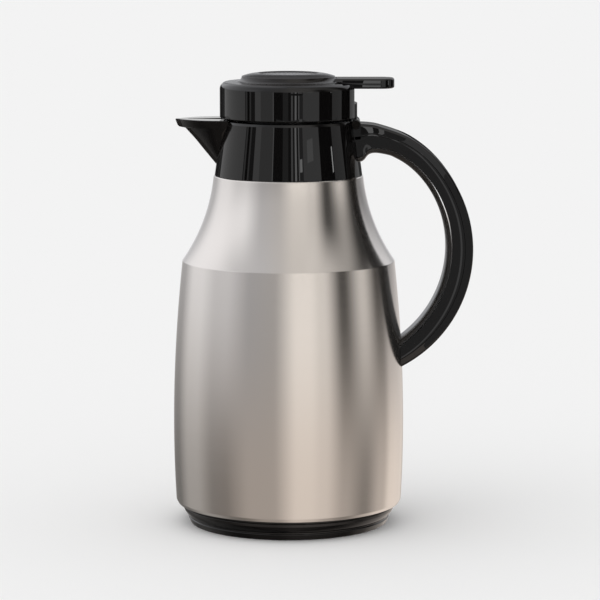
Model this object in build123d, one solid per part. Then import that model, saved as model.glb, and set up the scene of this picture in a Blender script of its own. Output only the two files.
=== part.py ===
"""Thermal carafe with a hinged lid, a press-to-pour lever and a glass vacuum liner.

Units are millimetres and +Z is up. The origin is the centre of the foot, on the table.
The spout points along -X, and the handle and the thumb lever along +X.
Turned pieces are drawn as half sections of (radius, height).
"""
from build123d import *
from math import cos, radians, sin, sqrt, tan
import os

# ---------------------------------------------------------------- clearances
seat_gap = 0.15          # between two fixed pieces that face each other
pin_clearance = 0.05     # radial, pin in a bore
screw_clearance = 0.1    # radial, screw in its hole
moving_gap = 0.4         # between a moving piece and what it passes
parting_gap = 0.2        # the line seen between two mouldings
past = 5.0               # how far a cutting shape runs past what it cuts
far = 300.0              # beyond the whole carafe
arc_past = 5.0           # the same for an arc, in degrees
wedge_core = 0.1         # hole left at a wedge's axis

# ---------------------------------------------------------------- steel jacket
jacket_wall = 0.8
jacket_foot_z = 12.6
jacket_curl = 2.0        # height of the rolled lower edge
jacket_curl_in = 1.8     # how far that edge rolls in
curl_bulge = 0.4         # sagitta of its arc
jacket_curl_r = 68.9     # radius above the rolled edge
jacket_belly_r = 70.2
jacket_belly_z = 63.0
jacket_chest_r = 67.95
jacket_chest_z = 122.8
jacket_crease_r = 64.5
jacket_crease_z = 161.3
jacket_waist_r = 52.9
jacket_waist_z = 182.6
jacket_top_r = 45.3
jacket_top_z = 213.2
crease_out = (1.0, 0.4)  # way out of the wall at the crease, as (radius, height)
waist_out = (0.9, 0.45)  # way out of the wall at the waist
foot_lip_w = 5.6         # width of the lower inturned lip
top_lip_w = 5.1          # jacket's top edge to the collar's skirt
lip_clearance = 0.4      # skirt in the upper lip's hole

# ---------------------------------------------------------------- base
pad_in = 8.4             # pad inside the foot's edge
pad_t = 2.0
base_floor_t = 2.4
base_foot_z = 0.3        # moulding stands clear of the table by this
base_foot_in = 1.3       # foot inside the lower tier
base_tier_z = 3.6        # lower tier
base_groove = 0.5        # depth of the groove between the tiers
base_groove_h = 1.0
base_flare = 3.8         # lower tier inside the upper one
base_flare_bulge = 0.5   # how far the flare's arc bulges out
base_rim_in = 1.6        # upper tier inside the jacket's edge
base_rim_h = 1.6
base_shadow = 0.9        # step that leaves the dark line under the steel
base_shadow_h = 2.2
base_wall = 2.6
base_wall_h = 8.5        # wall that stands inside the jacket
ring_nut_w = 4.1
ring_nut_h = 4.0
socket_r = 34.0          # socket of the liner cushion
socket_h = 6.0

# ---------------------------------------------------------------- glass liner
glass_wall = 1.5
liner_gap = 3.2          # steel to glass where the jacket is narrowest
vacuum_gap = 3.0         # between the two glass walls
vacuum_gap_z = 3.5       # the same under the dome
vacuum_gap_neck = 2.25
outer_glass_z = 20.0     # lowest point of the outer dome
inner_neck_r = 30.5
dome_angle = 60.0        # turn of the knuckle between side and dome
knuckle_r = 30.0
shoulder_r = 30.0
shoulder_angle = 60.0
outer_shoulder_z = 152.0
shoulder_drop = 2.0      # inner shoulder below the outer one
glass_lip_t = 3.0
tip_off_r = 3.0          # sealed glass tip under the dome
tip_off_end_r = 1.0
tip_off_h = 5.0
spacer_count = 3
spacer_size = 10.0
spacer_z = 95.0
spacer_angle = 60.0      # place of the first spacer
cushion_bore_r = 12.0
cushion_side_h = 10.0    # how far it comes up round the dome
neck_gasket_t = 4.0
neck_gasket_w = 1.85     # skirt round the glass lip
neck_gasket_h = 5.6      # skirt depth below the lip

# ---------------------------------------------------------------- collar
collar_step = 0.5        # collar inside the jacket's top edge
collar_low_in = 0.8
collar_low_h = 5.9
collar_top_r = 40.4
collar_cone_h = 31.9
collar_h = 33.6
collar_rim_in = 0.5      # rim leans in by this
collar_wall = 2.4
deck_t = 2.4
throat_clearance = 0.7   # stopper in the throat
skirt_wall = 2.6
skirt_h = 9.6
collar_nut_h = 6.0

# funnel inside the collar
funnel_wall = 2.1
seat_h = 7.0             # height of the throat above the deck
cone_h = 5.0             # conical seat of the stopper gasket
cone_w = 2.9
funnel_top_gap = 2.0     # below the collar rim
funnel_low_w = 1.8       # funnel's foot outside the conical seat
funnel_low_h = 2.7
funnel_mouth_h = 2.2     # upright band at the mouth
funnel_mouth_wall = 1.6
under_step = 0.7         # underside of each slope below its top face

# ---------------------------------------------------------------- spout
spout_tip_x = 68.7
spout_nose_h = 3.0       # upright front of the tip
spout_mid_x = 56.3
spout_mid_h = 13.1       # below the rim
spout_low_out = 0.6      # lowest point outside the collar's cone
spout_drop = 27.8        # full height of the beak
spout_half_w = 18.5
spout_nose_in = (0.4, 1.2)   # the lip's lower edge behind its top one, at the tip and the sides
spout_mid_half_w = 11.4
spout_low_half_w = 3.0
spout_root_in = 0.4      # where the beak's sides start, inside the collar's top radius
spout_back_in = 2.0      # how deep its back goes into the collar
spout_nose_half_w = 1.9
spout_wall = 2.0
tip_wall_factor = 1.6    # wall along the keel to wall of the sides
channel_lift = 2.6       # channel's V above the beak's
channel_back = 2.0       # its inner end outside the stopper
channel_start_h = 13.8   # above the deck, where the channel leaves the funnel
spout_raise = 0.6        # rim of the spout above the collar rim

# ---------------------------------------------------------------- hinge
hinge_out = 0.1          # axis outside the collar's top radius
hinge_drop = 1.9         # axis below the collar rim
hinge_pin_r = 1.5
hinge_head_r = 2.4
hinge_head_t = 0.8
knuckle_out_r = 2.8
knuckle_half_w = 10.0
ear_r = 3.0
ear_half_w = 16.0
hinge_block_h = 10.0
pocket_front = 5.5       # reach of the knuckle's pocket ahead of the axis
pocket_back = 8.0

# ---------------------------------------------------------------- handle
grip_set_in = 38.2       # centre of the handle's back arc, inside the belly radius
grip_drop = 78.8         # below the collar rim
grip_out_r = 79.9
grip_in_shift = 4.7      # the finger side's arc has a centre of its own, nearer the spout
grip_in_rise = 1.1
grip_thin = 11.55        # difference between the two arcs' radii
grip_w = 25.0
grip_round = 5.0
grip_wall = 2.2
grip_core = 12.0         # how far the blank runs inside the finger side
cover_t = 3.0
cover_tongue = 2.4
cover_bite = 0.5         # how far strip and tongue run into each other
cover_round = 1.0
cover_ease = 0.2         # degrees between the strip's ends and the moulding
root_w = 33.0
root_top_drop = 2.8      # flat landing below the collar rim
root_flat_l = 11.6       # its length from the collar
root_taper_l = 17.6      # length over which the root narrows to the grip
root_taper_in = 1.5      # where it starts to narrow, inside the collar's top radius
root_reach = 38.0        # from the arcs' centre to where root and arc merge
root_end_drop = 7.0      # its top at that place, below the landing
root_end_rise = 2.4      # its underside at that place, above the root's foot
root_depth = 27.2        # below the collar rim
root_lip = 0.4           # the root's foot outside the collar
root_hollow_w = 6.6      # rounded corner under the root, at the collar
root_hollow_h = 7.2
root_hollow_bulge = 1.3
root_under_l = 5.2       # level underside beyond that corner
root_under_bulge = 0.55  # from there to the arc
root_solid_angle = 57.0
foot_solid_angle = -46.0
handle_end_angle = -74.0
handle_start_angle = 72.0
upper_screw_y = 8.0
upper_screw_drop = 16.2
upper_pad = 8.0          # side of the flat pad under each head
upper_pad_h = 0.3        # pad above the collar's inner wall, at the head's far edge
screw_r = 2.0
screw_head_r = 3.6
screw_head_t = 2.4
upper_screw_l = 13.0
lower_screw_l = 9.0
screw_end_gap = 1.0      # bore beyond the screw's end
bracket_w = 16.0
bracket_t = 1.4          # at its middle

# ---------------------------------------------------------------- lid
lid_gap = 1.6
lid_overhang = 1.2       # lid outside the collar's top radius
lid_h = 21.6
lid_wall = 2.3
lid_round = 3.5
lid_top_t = 2.3
lid_inner_round = 1.4
plate_in = 9.7           # hole for the raised top plate, inside the lid
plate_ledge = 2.4
plate_ledge_t = 1.8
plate_seat = 1.9         # ledge below the lid's top
plate_rise = 3.8
plate_crown = 1.2
plate_crown_share = 0.62 # share of the crown's rise that its middle has
plate_cove_w = 3.5       # width of the coved edge
plate_cove_in = 0.6      # how far the cove is hollow
plate_cove_z = 1.3       # height of its middle above the lid
plate_foot_w = 3.9       # foot ring that stands on the ledge
plate_lip = 0.1          # its outer edge above the lid
plate_flat_r = 18.2
plate_t = 2.2
ring_w = 2.0             # thicker ring of the lid round the plate's hole
slot_gap = 1.2           # beside the lever
slot_depth = 8.0         # how far the slot runs in under the plate
band_h = 8.6             # wall left under the lever slot
lid_boss_r = 3.2
lid_boss_in = 4.8        # bosses inside the lid's inner face
lid_screw_angles = (60, 180, 300)
lid_screw_r = 1.5
lid_screw_head_r = 2.8
lid_screw_head_t = 1.8
lid_screw_l = 11.0
web_front = 2.0          # web from the knuckle up to the lid
web_back = 0.7
web_gap = 0.1            # web to the stopper's flange

# ---------------------------------------------------------------- stopper
flange_t = 2.2
flange_lift = 0.4        # flange above the lid's lower edge
stopper_in = 14.1        # stopper inside the collar's top radius
stopper_wall = 2.3
stopper_foot_in = 4.3    # foot inside the stopper's tube
stopper_foot_wall = 2.0
chamber_step = 1.0       # chamber's wall beyond the tube's
chamber_taper_in = 1.0   # inner taper ends this far above the outer one
stopper_foot_z = -0.6    # relative to the collar deck's underside
stopper_taper_h = 10.0
chamber_floor_t = 2.0
chamber_h = 19.8
valve_hole_r = 11.0
groove_z = 12.0          # above the stopper's foot
groove_h = 2.2
groove_depth = 1.0
gasket_reach = 2.3
gasket_rise = 2.0
gasket_lip_t = 0.8
window_half_angle = 35.0
window_low = 15.2        # above the stopper's foot
window_h = 3.0
ceiling_t = 2.0
spigot_h = 1.5
insulation_gap = 0.4
insulation_bore = 1.0    # round the stem

# ---------------------------------------------------------------- valve
stem_r = 2.5
valve_disc_r = 13.5
valve_disc_t = 1.8
valve_gasket_t = 1.5
valve_nut_r = 4.5
valve_nut_t = 2.4
spring_r = 6.0
spring_wire_r = 0.5
spring_turns = 4.5
stem_head_r = 9.0
stem_head_t = 1.8
stem_end_r = 1.8
head_gap = 0.3           # fork to stem head at rest
spring_end_gap = 0.05

# ---------------------------------------------------------------- lever
lever_reach = 22.2       # outside the lid
lever_w = 22.4
lever_t = 6.2
lever_top = 1.4          # above the lid's annulus
lever_corner = 5.5
lever_edge = 1.0
lever_disc_gap = 0.7
pivot_x = 24.0
pivot_drop = 7.6         # below the lid's annulus
pivot_pin_r = 1.5
pivot_boss_r = 3.2
arm_t = 5.0
arm_half_w = 10.0
fork_half_w = 7.5
fork_slot_half_w = 3.5
fork_slot_l = 6.5
fork_crown_r = 2.5
fork_taper_end = 4.0     # the fork widens to the arm this far from the pivot
crank_l = 6.0            # the arm rises to the paddle over this length
crank_heel = 1.5
crank_low = 0.5          # the arm's foot in the paddle, above its underside
crank_high = 2.0
crank_clear = 0.4        # paddle's hollow above the arm
arm_bite = 1.0           # how far the arm's two lengths run into each other
paddle_root = 5.0        # how far the paddle reaches in under the plate's line
post_t = 3.0
post_l = 6.0
post_low = 0.6           # posts end this far below the pivot boss's top

# ---------------------------------------------------------------- sizes worked out
jacket_foot_r = jacket_curl_r - jacket_curl_in
foot_lip_r = jacket_foot_r - foot_lip_w
skirt_r = jacket_top_r - top_lip_w
top_lip_r = skirt_r + lip_clearance
base_rim_r = jacket_foot_r - base_rim_in
base_tier_r = base_rim_r - base_flare
base_foot_r = base_tier_r - base_foot_in
pad_r = base_foot_r - pad_in
base_rim_top_z = jacket_foot_z - base_shadow_h
base_rim_z = base_rim_top_z - base_rim_h
base_floor_z = pad_t + base_floor_t
narrowest_r = min(jacket_curl_r, jacket_belly_r, jacket_chest_r, jacket_crease_r)
outer_glass_r = narrowest_r - jacket_wall - liner_gap
inner_glass_r = outer_glass_r - glass_wall - vacuum_gap
inner_glass_z = outer_glass_z + glass_wall + vacuum_gap_z
outer_neck_r = inner_neck_r + glass_wall + vacuum_gap_neck
inner_shoulder_z = outer_shoulder_z - shoulder_drop
glass_top_z = jacket_top_z - neck_gasket_t

collar_foot_r = jacket_top_r - collar_step
collar_low_r = collar_foot_r - collar_low_in
collar_low_z = jacket_top_z + collar_low_h
collar_cone_z = jacket_top_z + collar_cone_h
collar_rim_z = jacket_top_z + collar_h
collar_rim_r = collar_top_r - collar_rim_in
collar_inner_r = collar_top_r - collar_wall
stopper_r = collar_top_r - stopper_in
throat_r = stopper_r + throat_clearance
deck_z = jacket_top_z + deck_t
spout_low_x = collar_low_r + spout_low_out
spout_root_x = collar_top_r - spout_root_in
hinge_x = collar_top_r + hinge_out
hinge_z = collar_rim_z - hinge_drop

grip_x = jacket_belly_r - grip_set_in
grip_z = collar_rim_z - grip_drop
grip_in_x = grip_x - grip_in_shift
grip_in_z = grip_z + grip_in_rise
grip_in_r = grip_out_r - grip_thin
GRIP_AXIS = Axis((grip_x, 0, grip_z), (0, -1, 0))
FINGER_AXIS = Axis((grip_in_x, 0, grip_in_z), (0, -1, 0))
root_top_z = collar_rim_z - root_top_drop
root_low_z = collar_rim_z - root_depth
upper_screw_z = collar_rim_z - upper_screw_drop
cone_share = (upper_screw_z - collar_low_z) / (collar_cone_z - collar_low_z)
cone_inner_r = collar_low_r - collar_wall + cone_share * (collar_top_r - collar_low_r)
upper_pad_x = sqrt(cone_inner_r ** 2 - (upper_screw_y + screw_head_r) ** 2) - upper_pad_h
grip_middle_r = (grip_out_r + grip_in_r) / 2
lower_screw_z = grip_z - sqrt(grip_middle_r ** 2 - grip_set_in ** 2)

lid_r = collar_top_r + lid_overhang
lid_inner_r = lid_r - lid_wall
plate_r = lid_r - plate_in
lid_low_z = collar_rim_z + lid_gap
lid_top_z = lid_low_z + lid_h
lid_boss_pitch_r = lid_inner_r - lid_boss_in
slot_w = lever_w + 2 * slot_gap
flange_z = lid_low_z + flange_lift
flange_top_z = flange_z + flange_t
stopper_z = jacket_top_z + stopper_foot_z
stopper_foot_r = stopper_r - stopper_foot_in
stopper_inner_r = stopper_r - stopper_wall
chamber_inner_r = stopper_inner_r - chamber_step
chamber_top_z = stopper_z + chamber_h
ceiling_z = chamber_top_z + ceiling_t
valve_seat_z = stopper_z + chamber_floor_t
lever_end_x = lid_r + lever_reach
post_out = arm_half_w + moving_gap + post_t
pivot_z = lid_top_z - pivot_drop
head_z = pivot_z + fork_crown_r + head_gap
BOTTOM = (Align.CENTER, Align.CENTER, Align.MIN)


# ---------------------------------------------------------------- drawing helpers
def outline(*points):
    """Closed flat shape through the points."""
    return make_face(Polyline(*points, close=True))


def block(x0, x1, z0, z1):
    """Flat rectangle between two corners."""
    return Pos((x0 + x1) / 2, (z0 + z1) / 2) * Rectangle(x1 - x0, z1 - z0)


def turned(profile):
    """Solid of revolution about the vertical axis, its seam on the +Y side."""
    return revolve(Plane.YZ * profile, Axis.Z)


def disc(radius, z0, z1):
    """Round solid on the axis between two heights."""
    return Pos(0, 0, z0) * Cylinder(radius, z1 - z0, align=BOTTOM)


def ring(r_out, r_in, z0, z1):
    """Tube on the axis between two heights."""
    return disc(r_out, z0, z1) - disc(r_in, z0 - past, z1 + past)


def box(x0, x1, y0, y1, z0, z1):
    """Upright box between two corners."""
    centre = Pos((x0 + x1) / 2, (y0 + y1) / 2, (z0 + z1) / 2)
    return centre * Box(x1 - x0, y1 - y0, z1 - z0)


def rod_y(x, z, radius, y0, y1):
    """Round bar across the carafe, along Y."""
    centre = Pos(x, (y0 + y1) / 2, z) * Rot(90, 0, 0)
    return centre * Cylinder(radius, y1 - y0)


def rod_x(y, z, radius, x0, x1):
    """Round bar along X."""
    centre = Pos((x0 + x1) / 2, y, z) * Rot(0, 90, 0)
    return centre * Cylinder(radius, x1 - x0)


def side_plate(profile, width):
    """Extrude a shape drawn as (x, z) to both sides of the middle plane."""
    return extrude(Plane.XZ * profile, amount=width / 2, both=True)


def arc_sweep(section, axis, start, end):
    """Carry a section, drawn as (arc radius, width), round one of the handle's axes."""
    placed = Pos(*axis.position) * section
    return revolve(placed.rotate(axis, start), axis, end - start)


# ---------------------------------------------------------------- steel jacket
def jacket_profile(grow=0.0):
    """Half section of everything inside the jacket's outer surface, grown along its normals."""
    low_z = jacket_foot_z - grow
    high_z = jacket_top_z + grow
    foot = (jacket_foot_r + grow / 2, low_z)
    curl = (jacket_curl_r + grow, jacket_foot_z + jacket_curl)
    belly = (jacket_belly_r + grow, jacket_belly_z)
    chest = (jacket_chest_r + grow, jacket_chest_z)
    crease = (jacket_crease_r + crease_out[0] * grow, jacket_crease_z + crease_out[1] * grow)
    waist = (jacket_waist_r + waist_out[0] * grow, jacket_waist_z + waist_out[1] * grow)
    top = (jacket_top_r + grow, high_z)
    return make_face([
        Line((0, low_z), foot),
        SagittaArc(foot, curl, -curl_bulge),
        Spline(curl, belly, chest, crease),
        ThreePointArc(crease, waist, top),
        Line(top, (0, high_z)),
        Line((0, high_z), (0, low_z)),
    ])


def inner_radius(z):
    """Radius of the jacket's inner surface at a height."""
    level = Line((0, z), (far, z))
    return (level & jacket_profile(-jacket_wall)).bounding_box().max.X


def make_outer_shell():
    """Drawn steel jacket with an inturned lip at each end."""
    lip = 2 * jacket_wall
    shell = turned(jacket_profile()) - turned(jacket_profile(-jacket_wall))
    shell -= disc(foot_lip_r, jacket_foot_z - past, jacket_foot_z + lip)
    shell -= disc(top_lip_r, jacket_top_z - lip, jacket_top_z + past)
    return shell - rod_x(0, lower_screw_z, screw_r + screw_clearance, 0, far)


bracket_x = inner_radius(lower_screw_z) - seat_gap - bracket_t


# ---------------------------------------------------------------- base
def make_base_pad():
    """Anti-slip disc under the base."""
    return disc(pad_r, 0, pad_t)


def make_base_cap():
    """Two-tier base moulding that closes the jacket."""
    wall_r = foot_lip_r - 2 * seat_gap
    recess_r = pad_r + seat_gap
    step_r = base_rim_r - base_shadow
    groove_r = base_tier_r - base_groove
    groove_z = base_tier_z + base_groove_h
    flare = ((groove_r + base_rim_r) / 2 + base_flare_bulge, (groove_z + base_rim_z) / 2)
    socket_out_r = socket_r + base_wall
    wall_top_z = jacket_foot_z + base_wall_h
    socket_top_z = base_floor_z + socket_h
    return turned(make_face([
        Polyline(
            (groove_r, groove_z), (groove_r, base_tier_z + base_groove), (base_tier_r, base_tier_z),
            (base_foot_r, base_foot_z), (recess_r, base_foot_z), (recess_r, pad_t), (0, pad_t),
            (0, base_floor_z), (socket_r, base_floor_z), (socket_r, socket_top_z),
            (socket_out_r, socket_top_z), (socket_out_r, base_floor_z),
            (wall_r - base_wall, base_floor_z), (wall_r - base_wall, wall_top_z),
            (wall_r, wall_top_z), (wall_r, jacket_foot_z), (step_r, jacket_foot_z),
            (step_r, base_rim_top_z + base_shadow / 2), (base_rim_r, base_rim_top_z),
            (base_rim_r, base_rim_z)),
        ThreePointArc((groove_r, groove_z), flare, (base_rim_r, base_rim_z)),
    ]))


def make_base_ring_nut():
    """Ring that clamps the jacket's lower lip onto the base."""
    inner_r = foot_lip_r - seat_gap
    z0 = jacket_foot_z + jacket_wall
    return ring(inner_r + ring_nut_w, inner_r, z0, z0 + ring_nut_h)


# ---------------------------------------------------------------- glass liner
def flask_profile(body_r, neck_r, low_z, shoulder_z, inset, top_z):
    """Half section of a bottle: domed foot, straight side, S-shaped shoulder and neck."""
    corner_r = knuckle_r - inset
    bend_r = shoulder_r - inset
    turn = radians(dome_angle)
    lean = radians(shoulder_angle)
    corner_x = body_r - corner_r
    crown_r = corner_r + corner_x / cos(turn)
    corner_z = low_z + crown_r - corner_x * tan(turn)
    neck_bend_r = (body_r - neck_r) / (1 - cos(lean)) - bend_r
    bend_x = body_r - bend_r
    neck_x = neck_r + neck_bend_r
    neck_z = shoulder_z + (bend_r + neck_bend_r) * sin(lean)
    return make_face([
        CenterArc((0, low_z + crown_r), crown_r, -90, 90 - dome_angle),
        CenterArc((corner_x, corner_z), corner_r, -dome_angle, dome_angle),
        Line((body_r, corner_z), (body_r, shoulder_z)),
        CenterArc((bend_x, shoulder_z), bend_r, 0, shoulder_angle),
        CenterArc((neck_x, neck_z), neck_bend_r, 180 + shoulder_angle, -shoulder_angle),
        Line((neck_r, neck_z), (neck_r, top_z)),
        Line((neck_r, top_z), (0, top_z)),
        Line((0, top_z), (0, low_z)),
    ])


def bottle(body_r, neck_r, low_z, shoulder_z, top_z):
    """Thin glass bottle, open at the top."""
    outside = flask_profile(body_r, neck_r, low_z, shoulder_z, 0, top_z)
    inside = flask_profile(
        body_r - glass_wall, neck_r - glass_wall, low_z + glass_wall,
        shoulder_z, glass_wall, top_z + past,
    )
    return turned(outside) - turned(inside)


def make_liner_outer_glass():
    """Outer wall of the vacuum bottle, with the sealed tip under its dome."""
    wall = bottle(outer_glass_r, outer_neck_r, outer_glass_z, outer_shoulder_z, glass_top_z - glass_lip_t)
    tip = Pos(0, 0, outer_glass_z - tip_off_h) * Cone(
        tip_off_end_r, tip_off_r, tip_off_h + glass_wall / 2, align=BOTTOM)
    return wall + tip


def make_liner_inner_glass():
    """Inner wall of the vacuum bottle, rolled out at the mouth over the outer wall."""
    wall = bottle(inner_glass_r, inner_neck_r, inner_glass_z, inner_shoulder_z, glass_top_z)
    lip = ring(outer_neck_r, inner_neck_r - glass_wall, glass_top_z - glass_lip_t, glass_top_z)
    return fillet(rim_edges(wall + lip, outer_neck_r, glass_top_z), glass_wall)


def rim_edges(solid, radius, z):
    """Round edges of a turned solid at one radius and height."""
    found = []
    for edge in solid.edges().filter_by(GeomType.CIRCLE):
        at_height = abs(edge.arc_center.Z - z) < 0.01
        if at_height and abs(edge.radius - radius) < 0.01:
            found.append(edge)
    return found


def make_liner_spacers():
    """Small pads that hold the two glass walls apart."""
    inner_r = inner_glass_r + seat_gap
    outer_r = outer_glass_r - glass_wall - seat_gap
    band = ring(outer_r, inner_r, spacer_z, spacer_z + spacer_size)
    pads = []
    for index in range(spacer_count):
        turn = Rot(0, 0, spacer_angle + index * 360 / spacer_count)
        window = turn * box(0, far, -spacer_size / 2, spacer_size / 2, 0, far)
        pads += (band & window).solids()
    return Compound(pads)


def make_liner_cushion():
    """Soft seat that carries the glass on the base."""
    blank = ring(socket_r - seat_gap, cushion_bore_r, base_floor_z, outer_glass_z + cushion_side_h)
    dome = turned(flask_profile(
        outer_glass_r + seat_gap, outer_neck_r + seat_gap, outer_glass_z - seat_gap,
        outer_shoulder_z, -seat_gap, glass_top_z))
    return blank - dome


def make_neck_gasket():
    """Rubber ring between the glass mouth and the collar's deck."""
    inner_r = inner_neck_r - glass_wall / 2
    skirt_in = outer_neck_r + 2 * seat_gap
    skirt_out = skirt_in + neck_gasket_w
    low_z = glass_top_z - neck_gasket_h
    return turned(outline(
        (inner_r, glass_top_z), (skirt_in, glass_top_z), (skirt_in, low_z),
        (skirt_out, low_z), (skirt_out, jacket_top_z), (inner_r, jacket_top_z),
    ))


# ---------------------------------------------------------------- collar and spout
def beak(rim_z, back_x, inset, lift):
    """Body of the spout, as flat V sections stacked from its lowest point to its rim."""
    stations = [
        (rim_z, spout_tip_x, spout_half_w),
        (rim_z - spout_nose_h, spout_tip_x - spout_nose_in[0], spout_half_w - spout_nose_in[1]),
        (rim_z - spout_mid_h, spout_mid_x, spout_mid_half_w),
        (rim_z - spout_drop, spout_low_x, spout_low_half_w),
    ]
    sections = []
    for z, tip_x, half_w in stations:
        nose = spout_nose_half_w - inset / 2
        wide = half_w - inset
        tip = tip_x - tip_wall_factor * inset
        sections.append(Pos(0, 0, z + lift) * outline(
            (-back_x, -wide), (-spout_root_x, -wide), (-tip, -nose),
            (-tip, nose), (-spout_root_x, wide), (-back_x, wide)))
    return loft(sections, ruled=True)


def pour_channel():
    """Space that the drink runs through, from the funnel to the tip."""
    inside = beak(collar_rim_z + spout_raise, stopper_r + channel_back, spout_wall, channel_lift)
    return inside & box(-far, 0, -far, far, deck_z + channel_start_h, far)


def collar_profile():
    """Half section of the collar: cone, rim, deck and the skirt inside the jacket."""
    return outline(
        (throat_r, jacket_top_z), (skirt_r - skirt_wall, jacket_top_z),
        (skirt_r - skirt_wall, jacket_top_z - skirt_h), (skirt_r, jacket_top_z - skirt_h),
        (skirt_r, jacket_top_z), (collar_foot_r, jacket_top_z), (collar_low_r, collar_low_z),
        (collar_top_r, collar_cone_z), (collar_rim_r, collar_rim_z),
        (collar_rim_r - collar_wall, collar_rim_z), (collar_inner_r, collar_cone_z),
        (collar_low_r - collar_wall, collar_low_z),
        (collar_foot_r - collar_wall, deck_z), (throat_r, deck_z),
    )


def collar_solid(extra):
    """The collar's cone as a full body, grown by a clearance."""
    return turned(outline(
        (0, jacket_top_z - past), (collar_foot_r + extra, jacket_top_z - past),
        (collar_foot_r + extra, jacket_top_z), (collar_low_r + extra, collar_low_z),
        (collar_top_r + extra, collar_cone_z), (collar_rim_r + extra, collar_rim_z),
        (collar_rim_r + extra, collar_rim_z + past), (0, collar_rim_z + past),
    ))


def collar_inside():
    """The space inside the collar's cone, above its deck."""
    return turned(outline(
        (0, deck_z), (collar_foot_r - collar_wall, deck_z), (collar_low_r - collar_wall, collar_low_z),
        (collar_inner_r, collar_cone_z), (collar_rim_r - collar_wall, collar_rim_z),
        (collar_rim_r - collar_wall, collar_rim_z + past), (0, collar_rim_z + past),
    ))


def hinge_block(extra):
    """Block behind the collar that carries the two hinge ears, grown by a clearance."""
    half_w = ear_half_w + extra
    far_x = hinge_x + ear_r + extra
    low_z = root_top_z - hinge_block_h - extra
    block_body = box(0, far_x, -half_w, half_w, low_z, root_top_z)
    ears = rod_y(hinge_x, hinge_z, ear_r + extra, -half_w, half_w)
    return block_body + ears


def hinge_pocket():
    """Room for the lid's knuckle between the ears."""
    half_w = knuckle_half_w + moving_gap
    radius = knuckle_out_r + moving_gap
    above = box(hinge_x - pocket_front, hinge_x + pocket_back, -half_w, half_w, hinge_z, collar_rim_z + past)
    return rod_y(hinge_x, hinge_z, radius, -half_w, half_w) + above


def make_collar():
    """Black neck moulding with the spout, the deck and the hinge ears."""
    inside = collar_inside()
    spout = beak(collar_rim_z + spout_raise, collar_inner_r - spout_back_in, 0, 0) - inside
    hinge = hinge_block(0) - inside
    body = turned(collar_profile()) + spout + hinge - pour_channel() - hinge_pocket()
    body -= rod_y(hinge_x, hinge_z, hinge_pin_r + pin_clearance, -ear_half_w - past, ear_half_w + past)
    half = upper_pad / 2
    for side in (-1, 1):
        y = side * upper_screw_y
        pad = box(upper_pad_x, collar_low_r, y - half, y + half, upper_screw_z - half, upper_screw_z + half)
        body += pad & collar_solid(0)
        body -= rod_x(y, upper_screw_z, screw_r + screw_clearance, 0, far)
    return body


def funnel_profile():
    """Half section of the funnel: throat, conical gasket seat and flared mouth."""
    throat_top = deck_z + seat_h
    cone_top = throat_top + cone_h
    cone_r = throat_r + cone_w
    low_r = cone_r + funnel_low_w
    low_z = cone_top + funnel_low_h
    top_r = collar_inner_r - seat_gap
    top_z = collar_rim_z - funnel_top_gap
    return outline(
        (throat_r, deck_z), (throat_r + funnel_wall, deck_z),
        (throat_r + funnel_wall, throat_top - under_step), (cone_r + funnel_wall, cone_top - under_step),
        (low_r + funnel_wall, low_z - under_step), (top_r, top_z - funnel_mouth_h), (top_r, top_z),
        (top_r - funnel_mouth_wall, top_z), (low_r, low_z), (cone_r, cone_top), (throat_r, throat_top),
    )


def make_pour_funnel():
    """Inner funnel that seats the stopper and leads the drink to the spout."""
    return turned(funnel_profile()) - pour_channel() - hinge_pocket()


def make_collar_ring_nut():
    """Ring that clamps the jacket's upper lip onto the collar."""
    z1 = jacket_top_z - jacket_wall
    outer_r = jacket_top_r - jacket_wall - seat_gap
    return ring(outer_r, skirt_r + seat_gap, z1 - collar_nut_h, z1)


# ---------------------------------------------------------------- handle
def grip_body(start, end, inset=0.0):
    """Length of the handle with a rounded back, down to well inside the finger side."""
    half_w = grip_w / 2 - inset
    section = block(grip_in_r - grip_core, grip_out_r - inset, -half_w, half_w)
    section = fillet(section.vertices().sort_by(Axis.X)[-2:], grip_round - inset)
    return arc_sweep(section, GRIP_AXIS, start, end)


def finger_cylinder(extra):
    """Everything inside the finger side's arc, grown by a distance."""
    return rod_y(grip_in_x, grip_in_z, grip_in_r + extra, -grip_w, grip_w)


def root_solid():
    """Wide root between the collar and the arc, with a rounded corner under it."""
    end_x = grip_x + root_reach
    under_z = root_low_z + root_hollow_h
    lip = (collar_low_r + root_lip, root_low_z)
    corner = (collar_low_r + root_lip + root_hollow_w, under_z)
    under_end = (collar_low_r + root_lip + root_hollow_w + root_under_l, under_z)
    merge = (end_x, root_low_z + root_end_rise)
    side = make_face([
        Polyline(lip, (collar_inner_r, root_low_z), (collar_inner_r, root_top_z),
                 (collar_top_r + root_flat_l, root_top_z), (end_x, root_top_z - root_end_drop), merge),
        SagittaArc(merge, under_end, -root_under_bulge),
        Line(under_end, corner),
        SagittaArc(corner, lip, -root_hollow_bulge),
    ])
    wide = root_w / 2
    slim = grip_w / 2
    near_x = collar_top_r - root_taper_in
    taper_x = collar_top_r + root_taper_l
    plan = outline(
        (0, -wide), (near_x, -wide), (taper_x, -slim), (end_x, -slim),
        (end_x, slim), (taper_x, slim), (near_x, wide), (0, wide),
    )
    return side_plate(side, root_w) & extrude(plan, amount=far)


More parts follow.
